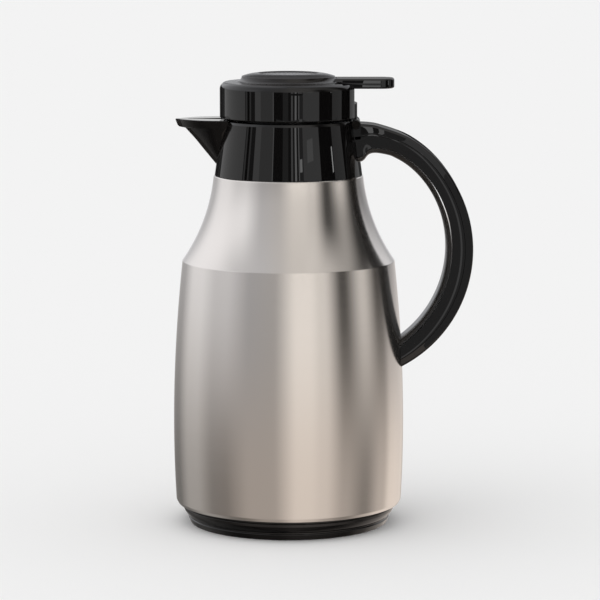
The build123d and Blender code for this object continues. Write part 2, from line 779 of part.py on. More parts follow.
def make_handle_shell():
    """Curved handle moulding with its solid root and foot."""
    shell = grip_body(handle_end_angle, handle_start_angle)
    shell -= grip_body(foot_solid_angle, root_solid_angle, grip_wall)
    shell -= finger_cylinder(0)
    shell += root_solid()
    shell -= finger_cylinder(cover_t) & span_wedge(foot_solid_angle, root_solid_angle)
    shell -= box(0, far, -far, far, root_top_z, far)
    shell -= collar_solid(seat_gap)
    shell -= hinge_block(seat_gap)
    shell -= turned(jacket_profile(seat_gap))
    shell -= hinge_pocket()
    shell -= rod_y(hinge_x, hinge_z, ear_r + seat_gap, -root_w, root_w)
    bore_r = screw_r + screw_clearance
    for side in (-1, 1):
        y = side * upper_screw_y
        shell -= rod_x(y, upper_screw_z, bore_r, 0, upper_pad_x + upper_screw_l + screw_end_gap)
    return shell - rod_x(0, lower_screw_z, bore_r, 0, bracket_x + lower_screw_l + screw_end_gap)


def span_wedge(start, end):
    """Wedge about the handle's centre that holds the span between two angles."""
    return arc_sweep(block(wedge_core, far, -grip_w, grip_w), GRIP_AXIS, start, end)


def make_handle_inner_cover():
    """Strip that closes the handle on the finger side."""
    half_w = grip_w / 2
    tongue_half_w = half_w - grip_wall - parting_gap
    cover_r = grip_in_r + cover_t - parting_gap
    strip = block(grip_in_r, cover_r, -half_w, half_w)
    strip = fillet(strip.vertices().sort_by(Axis.X)[:2], cover_round)
    strip += block(cover_r - cover_bite, cover_r + cover_tongue, -tongue_half_w, tongue_half_w)
    cover = arc_sweep(strip, FINGER_AXIS, foot_solid_angle - arc_past, root_solid_angle + arc_past)
    return cover & span_wedge(foot_solid_angle + cover_ease, root_solid_angle - cover_ease)


def screw_along_x(y, z, head_x, length):
    """Pan head screw, its head on the -X side of head_x."""
    return rod_x(y, z, screw_head_r, head_x - screw_head_t, head_x) + rod_x(y, z, screw_r, head_x, head_x + length)


def make_handle_upper_screws():
    """Two screws from inside the collar into the handle's root."""
    pair = []
    for side in (-1, 1):
        pair.append(screw_along_x(side * upper_screw_y, upper_screw_z, upper_pad_x, upper_screw_l))
    return Compound([screw.solid() for screw in pair])


def make_handle_bracket():
    """Backing plate inside the jacket, flat under the lower screw's head."""
    half_w = bracket_w / 2
    inside = turned(jacket_profile(-jacket_wall - seat_gap))
    plate = box(bracket_x, far, -half_w, half_w, lower_screw_z - half_w, lower_screw_z + half_w) & inside
    return plate - rod_x(0, lower_screw_z, screw_r + screw_clearance, 0, far)


def make_handle_lower_screw():
    """Screw from inside the jacket into the handle's foot."""
    return screw_along_x(0, lower_screw_z, bracket_x, lower_screw_l)


def make_hinge_pin():
    """Headed pin that carries the lid."""
    pin = rod_y(hinge_x, hinge_z, hinge_pin_r, -ear_half_w, ear_half_w)
    return pin + rod_y(hinge_x, hinge_z, hinge_head_r, -ear_half_w - hinge_head_t, -ear_half_w)


# ---------------------------------------------------------------- lid
def make_lid_shell():
    """Lid moulding with the lever slot, the screw bosses and the hinge knuckle."""
    ledge_z = lid_top_z - plate_seat
    under_z = ledge_z - plate_ledge_t
    roof_z = lid_top_z - lid_top_t
    shell = turned(outline(
        (lid_inner_r, lid_low_z), (lid_r, lid_low_z), (lid_r, lid_top_z), (plate_r, lid_top_z),
        (plate_r, ledge_z), (plate_r - plate_ledge, ledge_z), (plate_r - plate_ledge, under_z),
        (plate_r + ring_w, under_z), (plate_r + ring_w, roof_z), (lid_inner_r - lid_inner_round, roof_z),
        (lid_inner_r, roof_z - lid_inner_round),
    ))
    shell = fillet(rim_edges(shell, lid_r, lid_top_z), lid_round)
    bosses = []
    for angle in lid_screw_angles:
        boss = disc(lid_boss_r, flange_top_z, roof_z + seat_gap)
        bosses.append(Rot(0, 0, angle) * (Pos(lid_boss_pitch_r, 0, 0) * boss))
    shell += bosses
    slot_half_w = slot_w / 2
    slot = box(plate_r - slot_depth, far, -slot_half_w, slot_half_w, lid_low_z + band_h, far)
    shell -= slot - disc(plate_r, under_z, far)
    knuckle = rod_y(hinge_x, hinge_z, knuckle_out_r, -knuckle_half_w, knuckle_half_w)
    web = box(hinge_x - web_front, hinge_x + web_back, -knuckle_half_w, knuckle_half_w,
              hinge_z, flange_z - web_gap)
    shell += knuckle + web
    reach = knuckle_half_w + past
    shell -= rod_y(hinge_x, hinge_z, hinge_pin_r + pin_clearance, -reach, reach)
    for angle in lid_screw_angles:
        bore = disc(lid_screw_r + screw_clearance, flange_z - past, flange_z + lid_screw_l + screw_end_gap)
        shell -= Rot(0, 0, angle) * (Pos(lid_boss_pitch_r, 0, 0) * bore)
    return shell


def make_lid_top_plate():
    """Raised round plate with a coved edge and a shallow crown."""
    ledge_z = lid_top_z - plate_seat
    top_z = lid_top_z + plate_rise + plate_crown
    edge_z = lid_top_z + plate_rise
    rim_r = plate_r - parting_gap
    edge_r = rim_r - plate_cove_w
    foot_r = plate_r - plate_foot_w
    lip_z = lid_top_z + plate_lip
    cove = ((rim_r + edge_r) / 2 - plate_cove_in, lid_top_z + plate_cove_z)
    crown = ((edge_r + plate_flat_r) / 2, edge_z + plate_crown_share * plate_crown)
    return turned(make_face([
        Line((0, top_z), (plate_flat_r, top_z)),
        ThreePointArc((plate_flat_r, top_z), crown, (edge_r, edge_z)),
        ThreePointArc((edge_r, edge_z), cove, (rim_r, lip_z)),
        Polyline(
            (rim_r, lip_z), (rim_r, ledge_z), (foot_r, ledge_z), (edge_r - plate_t, edge_z - plate_t),
            (plate_flat_r, top_z - plate_t), (0, top_z - plate_t), (0, top_z)),
    ]))


def make_lid_screws():
    """Screws that hold the stopper's flange up into the lid."""
    screws = []
    for angle in lid_screw_angles:
        screw = disc(lid_screw_head_r, flange_z - lid_screw_head_t, flange_z)
        screw += disc(lid_screw_r, flange_z, flange_z + lid_screw_l)
        screws.append((Rot(0, 0, angle) * (Pos(lid_boss_pitch_r, 0, 0) * screw)).solid())
    return Compound(screws)


# ---------------------------------------------------------------- stopper
def make_stopper_housing():
    """Flange under the lid, with the stopper's tube, ceiling and lever posts."""
    flange_r = lid_inner_r - 2 * seat_gap
    spigot_r = chamber_inner_r - seat_gap
    body = turned(outline(
        (stem_r + pin_clearance, chamber_top_z - spigot_h), (spigot_r, chamber_top_z - spigot_h),
        (spigot_r, chamber_top_z), (stopper_r, chamber_top_z), (stopper_r, flange_z),
        (flange_r, flange_z), (flange_r, flange_top_z), (stopper_inner_r, flange_top_z),
        (stopper_inner_r, ceiling_z), (stem_r + pin_clearance, ceiling_z),
    ))
    for side in (-1, 1):
        middle = side * (post_out - post_t / 2)
        body += box(pivot_x - post_l / 2, pivot_x + post_l / 2, middle - post_t / 2, middle + post_t / 2,
                    flange_top_z, pivot_z + pivot_boss_r - post_low)
    body -= rod_y(pivot_x, pivot_z, pivot_pin_r + pin_clearance, -post_out - past, post_out + past)
    for angle in lid_screw_angles:
        hole = disc(lid_screw_r + screw_clearance, flange_z - past, flange_top_z + past)
        body -= Rot(0, 0, angle) * (Pos(lid_boss_pitch_r, 0, 0) * hole)
    return body


def make_valve_chamber():
    """Lower cup of the stopper: valve seat, gasket groove and front window."""
    taper_in_z = stopper_z + stopper_taper_h + chamber_taper_in
    groove0 = stopper_z + groove_z
    groove_r = stopper_r - groove_depth
    cup = turned(outline(
        (valve_hole_r, stopper_z), (stopper_foot_r, stopper_z),
        (stopper_r, stopper_z + stopper_taper_h), (stopper_r, groove0), (groove_r, groove0),
        (groove_r, groove0 + groove_h), (stopper_r, groove0 + groove_h), (stopper_r, chamber_top_z),
        (chamber_inner_r, chamber_top_z), (chamber_inner_r, taper_in_z),
        (stopper_foot_r - stopper_foot_wall, valve_seat_z), (valve_hole_r, valve_seat_z),
    ))
    reach = 2 * stopper_r
    spread = reach * tan(radians(window_half_angle))
    wedge = extrude(outline((0, 0), (-reach, -spread), (-reach, spread)), amount=window_h)
    return cup - Pos(0, 0, stopper_z + window_low) * wedge


def make_stopper_gasket():
    """Silicone lip ring that seals the stopper in the funnel."""
    z0 = stopper_z + groove_z
    z1 = z0 + groove_h
    in_r = stopper_r - groove_depth
    lip_r = stopper_r + gasket_reach
    lip_z = z0 + gasket_rise
    return turned(outline(
        (in_r, z0), (stopper_r, z0), (lip_r, lip_z), (lip_r, lip_z + gasket_lip_t),
        (stopper_r, z1), (in_r, z1),
    ))


def make_stopper_insulation():
    """Foam that fills the stopper above the chamber."""
    bore_r = stem_r + insulation_bore
    return ring(stopper_inner_r - insulation_gap, bore_r, ceiling_z, flange_top_z - insulation_gap)


# ---------------------------------------------------------------- valve
def make_valve_gasket():
    """Flat silicone washer on the valve seat."""
    return ring(valve_disc_r, stem_r, valve_seat_z, valve_seat_z + valve_gasket_t)


def make_valve_disc():
    """Disc that presses the washer down."""
    z0 = valve_seat_z + valve_gasket_t
    return ring(valve_disc_r, stem_r, z0, z0 + valve_disc_t)


def make_valve_stem():
    """Rod from the valve to the lever's fork, stepped at its top."""
    stem = disc(stem_r, valve_seat_z - valve_nut_t, head_z)
    return stem + disc(stem_end_r, head_z, head_z + stem_head_t)


def make_valve_nut():
    """Hexagon nut under the washer."""
    hexagon = RegularPolygon(valve_nut_r, 6) - Circle(stem_r)
    return Pos(0, 0, valve_seat_z - valve_nut_t) * extrude(hexagon, amount=valve_nut_t)


def make_stem_head():
    """Push nut that the fork lifts."""
    return ring(stem_head_r, stem_end_r, head_z, head_z + stem_head_t)


def make_valve_spring():
    """Coil spring that holds the valve shut."""
    low_z = valve_seat_z + valve_gasket_t + valve_disc_t + spring_wire_r + spring_end_gap
    high_z = chamber_top_z - spigot_h - spring_wire_r - spring_end_gap
    height = high_z - low_z
    path = Pos(0, 0, low_z) * Helix(height / spring_turns, height, spring_r)
    section = Plane(path @ 0, z_dir=path % 0) * Circle(spring_wire_r)
    return sweep(section, path=path)


# ---------------------------------------------------------------- lever
def make_lever_pin():
    """Pin of the thumb lever."""
    return rod_y(pivot_x, pivot_z, pivot_pin_r, -post_out, post_out)


def make_thumb_lever():
    """Thumb lever: paddle outside the lid, cranked arm and fork inside it."""
    top_z = lid_top_z + lever_top
    low_z = top_z - lever_t
    arm_top = pivot_z + arm_t / 2
    arm_low = pivot_z - arm_t / 2
    plate_clear = plate_r + lever_disc_gap
    paddle = block(plate_clear - paddle_root, lever_end_x, -lever_w / 2, lever_w / 2)
    paddle = fillet(paddle.vertices().sort_by(Axis.X)[-2:], lever_corner)
    paddle = Pos(0, 0, low_z) * extrude(paddle, amount=lever_t)
    faces = paddle.faces().sort_by(Axis.Z)
    paddle = fillet(faces[0].edges() + faces[-1].edges(), lever_edge)
    paddle -= disc(plate_clear, arm_top + crank_clear, far)
    crank_x = plate_clear + crank_l
    crank = side_plate(outline(
        (pivot_x, arm_low), (plate_clear + crank_heel, arm_low), (crank_x, low_z + crank_low),
        (crank_x, low_z + crank_high), (plate_clear + crank_clear, low_z + crank_high),
        (plate_clear - crank_heel, arm_top), (pivot_x, arm_top),
    ), 2 * arm_half_w)
    taper_x = pivot_x - fork_taper_end
    joined_x = pivot_x + arm_bite
    arm = Pos(0, 0, arm_low) * extrude(outline(
        (0, -fork_half_w), (fork_slot_l, -fork_half_w), (taper_x, -arm_half_w), (joined_x, -arm_half_w),
        (joined_x, arm_half_w), (taper_x, arm_half_w), (fork_slot_l, fork_half_w), (0, fork_half_w),
    ), amount=arm_t)
    arm += rod_y(0, pivot_z, fork_crown_r, -fork_half_w, fork_half_w)
    arm -= box(-past, fork_slot_l, -fork_slot_half_w, fork_slot_half_w, arm_low - past, arm_top + past)
    lever = paddle + crank + arm + rod_y(pivot_x, pivot_z, pivot_boss_r, -arm_half_w, arm_half_w)
    reach = arm_half_w + past
    return lever - rod_y(pivot_x, pivot_z, pivot_pin_r + pin_clearance, -reach, reach)


# ---------------------------------------------------------------- write every node
NODES = {
    "outer_shell": make_outer_shell,
    "base_cap": make_base_cap,
    "base_pad": make_base_pad,
    "base_ring_nut": make_base_ring_nut,
    "liner_outer_glass": make_liner_outer_glass,
    "liner_inner_glass": make_liner_inner_glass,
    "liner_spacers": make_liner_spacers,
    "liner_cushion": make_liner_cushion,
    "neck_gasket": make_neck_gasket,
    "collar": make_collar,
    "collar_ring_nut": make_collar_ring_nut,
    "pour_funnel": make_pour_funnel,
    "handle_shell": make_handle_shell,
    "handle_inner_cover": make_handle_inner_cover,
    "handle_upper_screws": make_handle_upper_screws,
    "handle_lower_screw": make_handle_lower_screw,
    "handle_bracket": make_handle_bracket,
    "hinge_pin": make_hinge_pin,
    "lid_shell": make_lid_shell,
    "lid_top_plate": make_lid_top_plate,
    "lid_screws": make_lid_screws,
    "stopper_housing": make_stopper_housing,
    "valve_chamber": make_valve_chamber,
    "stopper_gasket": make_stopper_gasket,
    "stopper_insulation": make_stopper_insulation,
    "lever_pin": make_lever_pin,
    "thumb_lever": make_thumb_lever,
    "valve_stem": make_valve_stem,
    "stem_head": make_stem_head,
    "valve_disc": make_valve_disc,
    "valve_gasket": make_valve_gasket,
    "valve_nut": make_valve_nut,
    "valve_spring": make_valve_spring,
}

os.makedirs("parts", exist_ok=True)
for node_name, make in NODES.items():
    export_step(make(), f"parts/{node_name}.step")
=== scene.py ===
# %% [markdown]
# # A thermal carafe with a flip lid
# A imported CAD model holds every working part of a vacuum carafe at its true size. This lesson dresses it.
# Turned shells are spun from half sections, the handle is lofted along its two arcs, the beak is joined
# to the collar with a boolean, and each piece then gets the finish that its real material would have.

# %% Load the frame
import math

import bpy
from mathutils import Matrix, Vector


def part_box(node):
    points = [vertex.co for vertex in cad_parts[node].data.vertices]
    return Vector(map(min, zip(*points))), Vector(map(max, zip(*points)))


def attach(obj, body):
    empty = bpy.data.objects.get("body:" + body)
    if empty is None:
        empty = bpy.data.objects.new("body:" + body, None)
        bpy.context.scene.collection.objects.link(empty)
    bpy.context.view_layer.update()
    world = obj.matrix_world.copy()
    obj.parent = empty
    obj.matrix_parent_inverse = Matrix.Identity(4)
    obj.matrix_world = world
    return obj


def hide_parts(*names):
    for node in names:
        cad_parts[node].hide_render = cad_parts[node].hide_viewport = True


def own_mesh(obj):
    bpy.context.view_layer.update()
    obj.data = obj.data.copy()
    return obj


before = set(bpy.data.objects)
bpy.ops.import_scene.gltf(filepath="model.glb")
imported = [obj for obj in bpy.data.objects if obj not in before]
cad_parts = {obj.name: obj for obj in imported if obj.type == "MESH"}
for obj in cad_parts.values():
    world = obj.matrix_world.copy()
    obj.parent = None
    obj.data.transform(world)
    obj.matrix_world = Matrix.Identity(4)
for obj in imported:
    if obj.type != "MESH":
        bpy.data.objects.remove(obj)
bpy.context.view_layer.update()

MM = 0.001


def select_only(piece):
    """Make one object the only selected and active one."""
    bpy.ops.object.select_all(action="DESELECT")
    piece.select_set(True)
    bpy.context.view_layer.objects.active = piece


# %% [markdown]
# ## Half sections
# Most of a carafe is turned or moulded round one axis. Each such shell is drawn as a half section of
# (radius, height) in millimetres. Real mouldings have no sharp corners, so a helper rounds any corner
# that is given a radius, and the light then catches a thin line along it.

# %% Rounded outlines
ROUND_STEPS = 5


def rounded(corners, steps=ROUND_STEPS):
    """Closed outline of 2-D points from (x, y, corner radius) triples."""
    points = []
    count = len(corners)
    for index, (x, y, radius) in enumerate(corners):
        here = Vector((x, y))
        before = Vector(corners[index - 1][:2]) - here
        after = Vector(corners[(index + 1) % count][:2]) - here
        half_turn = before.angle(after) / 2
        if radius == 0 or half_turn > math.radians(89):
            points.append((x, y))
            continue
        reach = min(radius / math.tan(half_turn), before.length / 2.01, after.length / 2.01)
        true_radius = reach * math.tan(half_turn)
        middle = here + (before.normalized() + after.normalized()).normalized() * (
            true_radius / math.sin(half_turn))
        start = here + before.normalized() * reach - middle
        end = here + after.normalized() * reach - middle
        sweep = start.angle_signed(end)
        for step in range(steps + 1):
            turn = -sweep * step / steps
            arm = Vector((start.x * math.cos(turn) - start.y * math.sin(turn),
                          start.x * math.sin(turn) + start.y * math.cos(turn)))
            points.append(tuple(middle + arm))
    return points


def arc_through(start, middle, end, steps):
    """Points of the circular arc through three points, its ends left out."""
    (ax, ay), (bx, by), (cx, cy) = start, middle, end
    scale = 2 * (ax * (by - cy) + bx * (cy - ay) + cx * (ay - by))
    a2, b2, c2 = ax * ax + ay * ay, bx * bx + by * by, cx * cx + cy * cy
    ux = (a2 * (by - cy) + b2 * (cy - ay) + c2 * (ay - by)) / scale
    uy = (a2 * (cx - bx) + b2 * (ax - cx) + c2 * (bx - ax)) / scale
    first = math.atan2(ay - uy, ax - ux)
    last = math.atan2(cy - uy, cx - ux)
    sweep = (last - first + math.pi) % (2 * math.pi) - math.pi
    radius = math.hypot(ax - ux, ay - uy)
    return [(ux + radius * math.cos(first + sweep * step / steps),
             uy + radius * math.sin(first + sweep * step / steps)) for step in range(1, steps)]


# %% Spin a half section
TURN_STEPS = 192
WELD = 0.002 * MM


def close_up(piece):
    """Weld what coincides, drop loose edges and turn every face outwards."""
    select_only(piece)
    bpy.ops.object.mode_set(mode="EDIT")
    bpy.ops.mesh.select_all(action="SELECT")
    bpy.ops.mesh.remove_doubles(threshold=WELD)
    bpy.ops.mesh.delete_loose()
    bpy.ops.mesh.select_all(action="SELECT")
    bpy.ops.mesh.normals_make_consistent(inside=False)
    bpy.ops.object.mode_set(mode="OBJECT")


def turned(name, outline, steps=TURN_STEPS):
    """Lay a ring of points on the half section, then spin it round the carafe's axis."""
    bpy.ops.object.select_all(action="DESELECT")
    bpy.ops.mesh.primitive_circle_add(vertices=len(outline), radius=MM, fill_type="NOTHING")
    piece = bpy.context.object
    piece.name = name
    for vertex, (radius, height) in zip(piece.data.vertices, outline):
        vertex.co = (radius * MM, 0, height * MM)
    bpy.ops.object.mode_set(mode="EDIT")
    bpy.ops.mesh.select_all(action="SELECT")
    bpy.ops.mesh.spin(steps=steps, angle=math.tau, center=(0, 0, 0), axis=(0, 0, 1))
    bpy.ops.object.mode_set(mode="OBJECT")
    close_up(piece)
    return piece


# %% Loft through sections
def pick_edges(piece, wanted):
    """Select the edges of a piece, in edit mode, whose two ends pass a test in millimetres."""
    select_only(piece)
    bpy.ops.object.mode_set(mode="EDIT")
    bpy.ops.mesh.select_mode(type="EDGE")
    bpy.ops.mesh.select_all(action="DESELECT")
    bpy.ops.object.mode_set(mode="OBJECT")
    points = [vertex.co / MM for vertex in piece.data.vertices]
    for edge in piece.data.edges:
        edge.select = wanted(*[points[k] for k in edge.vertices])
    bpy.ops.object.mode_set(mode="EDIT")


def lofted(name, sections):
    """Carry one closed section to the next by extruding the end face; points are in millimetres."""
    bpy.ops.object.select_all(action="DESELECT")
    bpy.ops.mesh.primitive_circle_add(vertices=len(sections[0]), radius=MM, fill_type="NGON")
    piece = bpy.context.object
    piece.name = name
    placed = [Vector(point) * MM for point in sections[0]]
    for vertex, point in zip(piece.data.vertices, placed):
        vertex.co = point
    for section in sections[1:]:
        bpy.ops.object.mode_set(mode="EDIT")
        bpy.ops.mesh.extrude_region_move()
        bpy.ops.object.mode_set(mode="OBJECT")
        fresh = [Vector(point) * MM for point in section]
        for vertex in piece.data.vertices:
            if vertex.select:
                nearest = min(range(len(placed)), key=lambda k: (vertex.co - placed[k]).length)
                vertex.co = fresh[nearest]
        placed = fresh
    close_up(piece)
    return piece


# %% Join, cut and soften
def combine(piece, tool, operation):
    """Apply a boolean of the tool on the piece, and throw the tool away."""
    select_only(piece)
    cut = piece.modifiers.new(operation.lower(), "BOOLEAN")
    cut.operation = operation
    cut.solver = "EXACT"
    cut.object = tool
    bpy.ops.object.modifier_apply(modifier=cut.name)
    bpy.data.objects.remove(tool)


def slab(low, high, name="cutter"):
    """Box between two corners in millimetres, for cutting or joining."""
    low, high = Vector(low) * MM, Vector(high) * MM
    bpy.ops.object.select_all(action="DESELECT")
    bpy.ops.mesh.primitive_cube_add(size=1, location=(low + high) / 2, scale=high - low)
    bpy.ops.object.transform_apply(location=True, rotation=True, scale=True)
    bpy.context.object.name = name
    return bpy.context.object


def bar_across(x, z, radius, half_length, name="bar", vertices=64):
    """Round bar along Y, in millimetres."""
    bpy.ops.object.select_all(action="DESELECT")
    bpy.ops.mesh.primitive_cylinder_add(
        vertices=vertices, radius=radius * MM, depth=2 * half_length * MM,
        location=(x * MM, 0, z * MM), rotation=(math.radians(90), 0, 0))
    bpy.ops.object.transform_apply(location=True, rotation=True, scale=True)
    bpy.context.object.name = name
    return bpy.context.object


def soften_edges(piece, width, segments=3, angle=35):
    """Round every edge sharper than an angle."""
    select_only(piece)
    bevel = piece.modifiers.new("soften", "BEVEL")
    bevel.width = width * MM
    bevel.segments = segments
    bevel.limit_method = "ANGLE"
    bevel.angle_limit = math.radians(angle)
    bpy.ops.object.modifier_apply(modifier=bevel.name)


def smooth(piece, angle=32):
    """Shade smoothly across every edge flatter than an angle, led by the larger faces."""
    select_only(piece)
    bpy.ops.object.shade_smooth_by_angle(angle=math.radians(angle))
    weighted = piece.modifiers.new("weighted", "WEIGHTED_NORMAL")
    weighted.keep_sharp = True
    bpy.ops.object.modifier_apply(modifier=weighted.name)


# %% [markdown]
# ## Finishes
# Colours are written as sRGB hex values and turned to linear once. One helper adds a shader node with its
# settings and links. Every pattern reads Object coordinates in metres, so its scale is a true size.

# %% Colour and node helpers
def linear(code):
    """Linear RGBA of an sRGB hex colour."""
    channels = [int(code[start:start + 2], 16) / 255 for start in (1, 3, 5)]
    return tuple([c / 12.92 if c <= 0.04045 else ((c + 0.055) / 1.055) ** 2.4 for c in channels] + [1.0])


def add_node(tree, kind, inputs=None, **settings):
    """Add a node; each input is given a value or is linked to another node's output."""
    node = tree.nodes.new(kind)
    for key, value in settings.items():
        setattr(node, key, value)
    for key, value in (inputs or {}).items():
        if isinstance(value, bpy.types.NodeSocket):
            tree.links.new(value, node.inputs[key])
        else:
            node.inputs[key].default_value = value
    return node


def new_finish(name):
    """Empty material; returns it with its node tree."""
    material = bpy.data.materials.new(name)
    material.use_nodes = True
    material.node_tree.nodes.clear()
    return material, material.node_tree


def close_finish(tree, shader):
    """Link the shader to the material's output."""
    add_node(tree, "ShaderNodeOutputMaterial", {"Surface": shader.outputs[0]})


# %% [markdown]
# ### Brushed stainless steel
# The jacket is drawn from AISI 304 sheet and brushed with a belt while it turns, so fine scratches run
# round it. They spread a reflection up and down far more than sideways. Streak noise, squeezed along Z,
# moves the roughness and the height a little. Real scratches are about 0.05 mm apart, too fine to show
# here, so they are drawn 0.5 mm apart.

# %% Steel
STREAK_MM = 0.5
STREAK_LENGTH_MM = 60.0


def brushed_steel(name, base, roughness, anisotropy, bump):
    """Steel with scratches round the Z axis."""
    material, tree = new_finish(name)
    place = add_node(tree, "ShaderNodeTexCoord")
    stretch = add_node(tree, "ShaderNodeMapping", {
        "Vector": place.outputs["Object"],
        "Scale": (1 / (STREAK_LENGTH_MM * MM), 1 / (STREAK_LENGTH_MM * MM), 1 / (STREAK_MM * MM))})
    streaks = add_node(tree, "ShaderNodeTexNoise", {
        "Vector": stretch.outputs[0], "Scale": 1.0, "Detail": 3.0, "Roughness": 0.7})
    worn = add_node(tree, "ShaderNodeMapRange", {
        "Value": streaks.outputs["Fac"], "From Min": 0.3, "From Max": 0.7,
        "To Min": roughness - 0.02, "To Max": roughness + 0.02})
    relief = add_node(tree, "ShaderNodeBump", {
        "Height": streaks.outputs["Fac"], "Strength": bump, "Distance": 0.02 * MM})
    around = add_node(tree, "ShaderNodeTangent", direction_type="RADIAL", axis="Z")
    shader = add_node(tree, "ShaderNodeBsdfPrincipled", {
        "Base Color": linear(base), "Metallic": 1.0, "Roughness": worn.outputs[0],
        "Anisotropic": anisotropy, "Anisotropic Rotation": 0.25,
        "Tangent": around.outputs[0], "Normal": relief.outputs[0]})
    close_finish(tree, shader)
    return material


# %% [markdown]
# ### Black ABS and its neighbours
# The mouldings are black ABS out of a polished tool: nearly a mirror at a grazing view, with a very faint
# waviness from shrinkage. The lid's top comes out of a spark-eroded tool, so it is satin. Seals are
# silicone, the inside parts natural polypropylene or nylon, and the pins plain steel.

# %% Plastics, rubber, glass
def moulded(name, base, roughness, ior=1.5, grain_mm=2.0, bump=0.02, mottling=0.15):
    """Moulded plastic or rubber with a faint grain in its height and roughness."""
    material, tree = new_finish(name)
    place = add_node(tree, "ShaderNodeTexCoord")
    grain = add_node(tree, "ShaderNodeTexNoise", {
        "Vector": place.outputs["Object"], "Scale": 1 / (grain_mm * MM), "Detail": 2.0})
    polish = add_node(tree, "ShaderNodeMapRange", {
        "Value": grain.outputs["Fac"], "From Min": 0.3, "From Max": 0.7,
        "To Min": roughness * (1 - mottling), "To Max": roughness * (1 + mottling)})
    relief = add_node(tree, "ShaderNodeBump", {
        "Height": grain.outputs["Fac"], "Strength": bump, "Distance": 0.1 * MM})
    shader = add_node(tree, "ShaderNodeBsdfPrincipled", {
        "Base Color": linear(base), "IOR": ior, "Roughness": polish.outputs[0],
        "Normal": relief.outputs[0]})
    close_finish(tree, shader)
    return material


jacket_steel = brushed_steel("brushed_304_steel", "#DAD5D0", 0.19, 0.6, 0.03)
pin_steel = brushed_steel("plain_bright_steel", "#C9C7C3", 0.22, 0.0, 0.05)
black_oxide = brushed_steel("black_oxide_steel", "#171615", 0.3, 0.0, 0.05)
gloss_abs = moulded("polished_black_abs", "#0B0A0A", 0.0, grain_mm=14.0, bump=0.004)
satin_abs = moulded("satin_black_abs", "#14110F", 0.22, grain_mm=0.5, bump=0.03)
fine_satin_abs = moulded("fine_satin_black_abs", "#12100F", 0.26, grain_mm=0.6, bump=0.02)
inner_nylon = moulded("black_polypropylene", "#1A1918", 0.42, grain_mm=0.8, bump=0.08)
silicone = moulded("grey_silicone", "#55544F", 0.55, ior=1.41, grain_mm=1.0, bump=0.05)
soft_rubber = moulded("black_rubber", "#161616", 0.7, ior=1.52, grain_mm=0.6, bump=0.2)
foam = moulded("white_foam", "#D6D2C6", 0.9, ior=1.3, grain_mm=0.8, bump=0.6)
silvered_glass = brushed_steel("silvered_glass", "#E4E6E8", 0.08, 0.0, 0.0)

# %% [markdown]
# ## The steel jacket
# A straight-sided shell would look dead, so the section has the long belly of a drawn jacket: one smooth
# cubic through four radii, a pressed crease, and a hollow shoulder that is a single arc up to the collar.
# It is a closed shell 0.8 mm thick, with a rolled lower edge and an inturned lip at each end.

# %% Jacket
JACKET_WALL = 0.8
BARREL = [(68.9, 14.6), (70.2, 63.0), (67.95, 122.8), (64.5, 161.3)]
WAIST = (52.9, 182.6)
JACKET_TOP = (45.3, 213.2)
JACKET_FOOT = (67.9, 12.6)
FOOT_LIP_R = 61.5
TOP_LIP_R = 40.6
CREASE_ROUND = 0.7
FOOT_ROUND = 0.3
TOP_ROUND = 0.8
BARREL_STEPS = 40
SHOULDER_STEPS = 26


def barrel_radius(z):
    """Cubic through the four barrel radii."""
    total = 0.0
    for i, (ri, zi) in enumerate(BARREL):
        weight = 1.0
        for j, (rj, zj) in enumerate(BARREL):
            if i != j:
                weight *= (z - zj) / (zi - zj)
        total += ri * weight
    return total


def jacket_side(inset):
    """Outer or inner face of the jacket, from its foot to its top, as (radius, height, round)."""
    low, high = BARREL[0][1], BARREL[-1][1]
    side = [(JACKET_FOOT[0] - inset, JACKET_FOOT[1] + inset, FOOT_ROUND)]
    for step in range(BARREL_STEPS):
        z = low + (high - low) * step / BARREL_STEPS
        side.append((barrel_radius(z) - inset, z, 1.0 if step == 0 else 0))
    crease = (BARREL[-1][0] - inset, high)
    waist = (WAIST[0] - 0.9 * inset, WAIST[1] - 0.45 * inset)
    top = (JACKET_TOP[0] - inset, JACKET_TOP[1] - inset)
    side.append((*crease, CREASE_ROUND))
    side += [(r, z, 0) for r, z in arc_through(crease, waist, top, SHOULDER_STEPS)]
    side.append((*top, TOP_ROUND))
    return side


outer_side = jacket_side(0)
inner_side = jacket_side(JACKET_WALL)
lip_low = [(FOOT_LIP_R, JACKET_FOOT[1] + JACKET_WALL, 0), (FOOT_LIP_R, JACKET_FOOT[1], 0)]
lip_high = [(TOP_LIP_R, JACKET_TOP[1], 0), (TOP_LIP_R, JACKET_TOP[1] - JACKET_WALL, 0)]
jacket = turned("steel_jacket", rounded(outer_side + lip_high + inner_side[::-1] + lip_low), 256)
print("jacket faces:", len(jacket.data.polygons))

# %% [markdown]
# ## The base moulding
# Two tiers with a groove between them, and a shadow step under the steel. The flare between the tiers is
# one arc, as in the CAD section.

# %% Base
BASE_FOOT = (60.4, 0.3)
BASE_TIER = (61.7, 3.6)
BASE_GROOVE = (61.2, 4.6)
BASE_RIM = (64.4, 8.8)
BASE_RIM_TOP = (64.4, 10.4)
BASE_STEP_R = 63.6
BASE_STEP_TOP = 12.6
BASE_INNER_R = 52.15
PAD_T = 2.0
flare_mid = (63.15, 6.7)
base_outline = [
    (BASE_INNER_R, BASE_FOOT[1], 0.3), (*BASE_FOOT, 0.5), (*BASE_TIER, 0.5),
    (BASE_GROOVE[0], BASE_TIER[1] + 0.5, 0.1), (*BASE_GROOVE, 0)]
base_outline += [(r, z, 0) for r, z in arc_through(BASE_GROOVE, flare_mid, BASE_RIM, 8)]
base_outline += [
    (*BASE_RIM, 0.4), (*BASE_RIM_TOP, 0.4), (BASE_STEP_R, BASE_RIM_TOP[1] + 0.4, 0.1),
    (BASE_STEP_R, BASE_STEP_TOP, 0), (0, BASE_STEP_TOP, 0), (0, PAD_T, 0), (BASE_INNER_R, PAD_T, 0)]
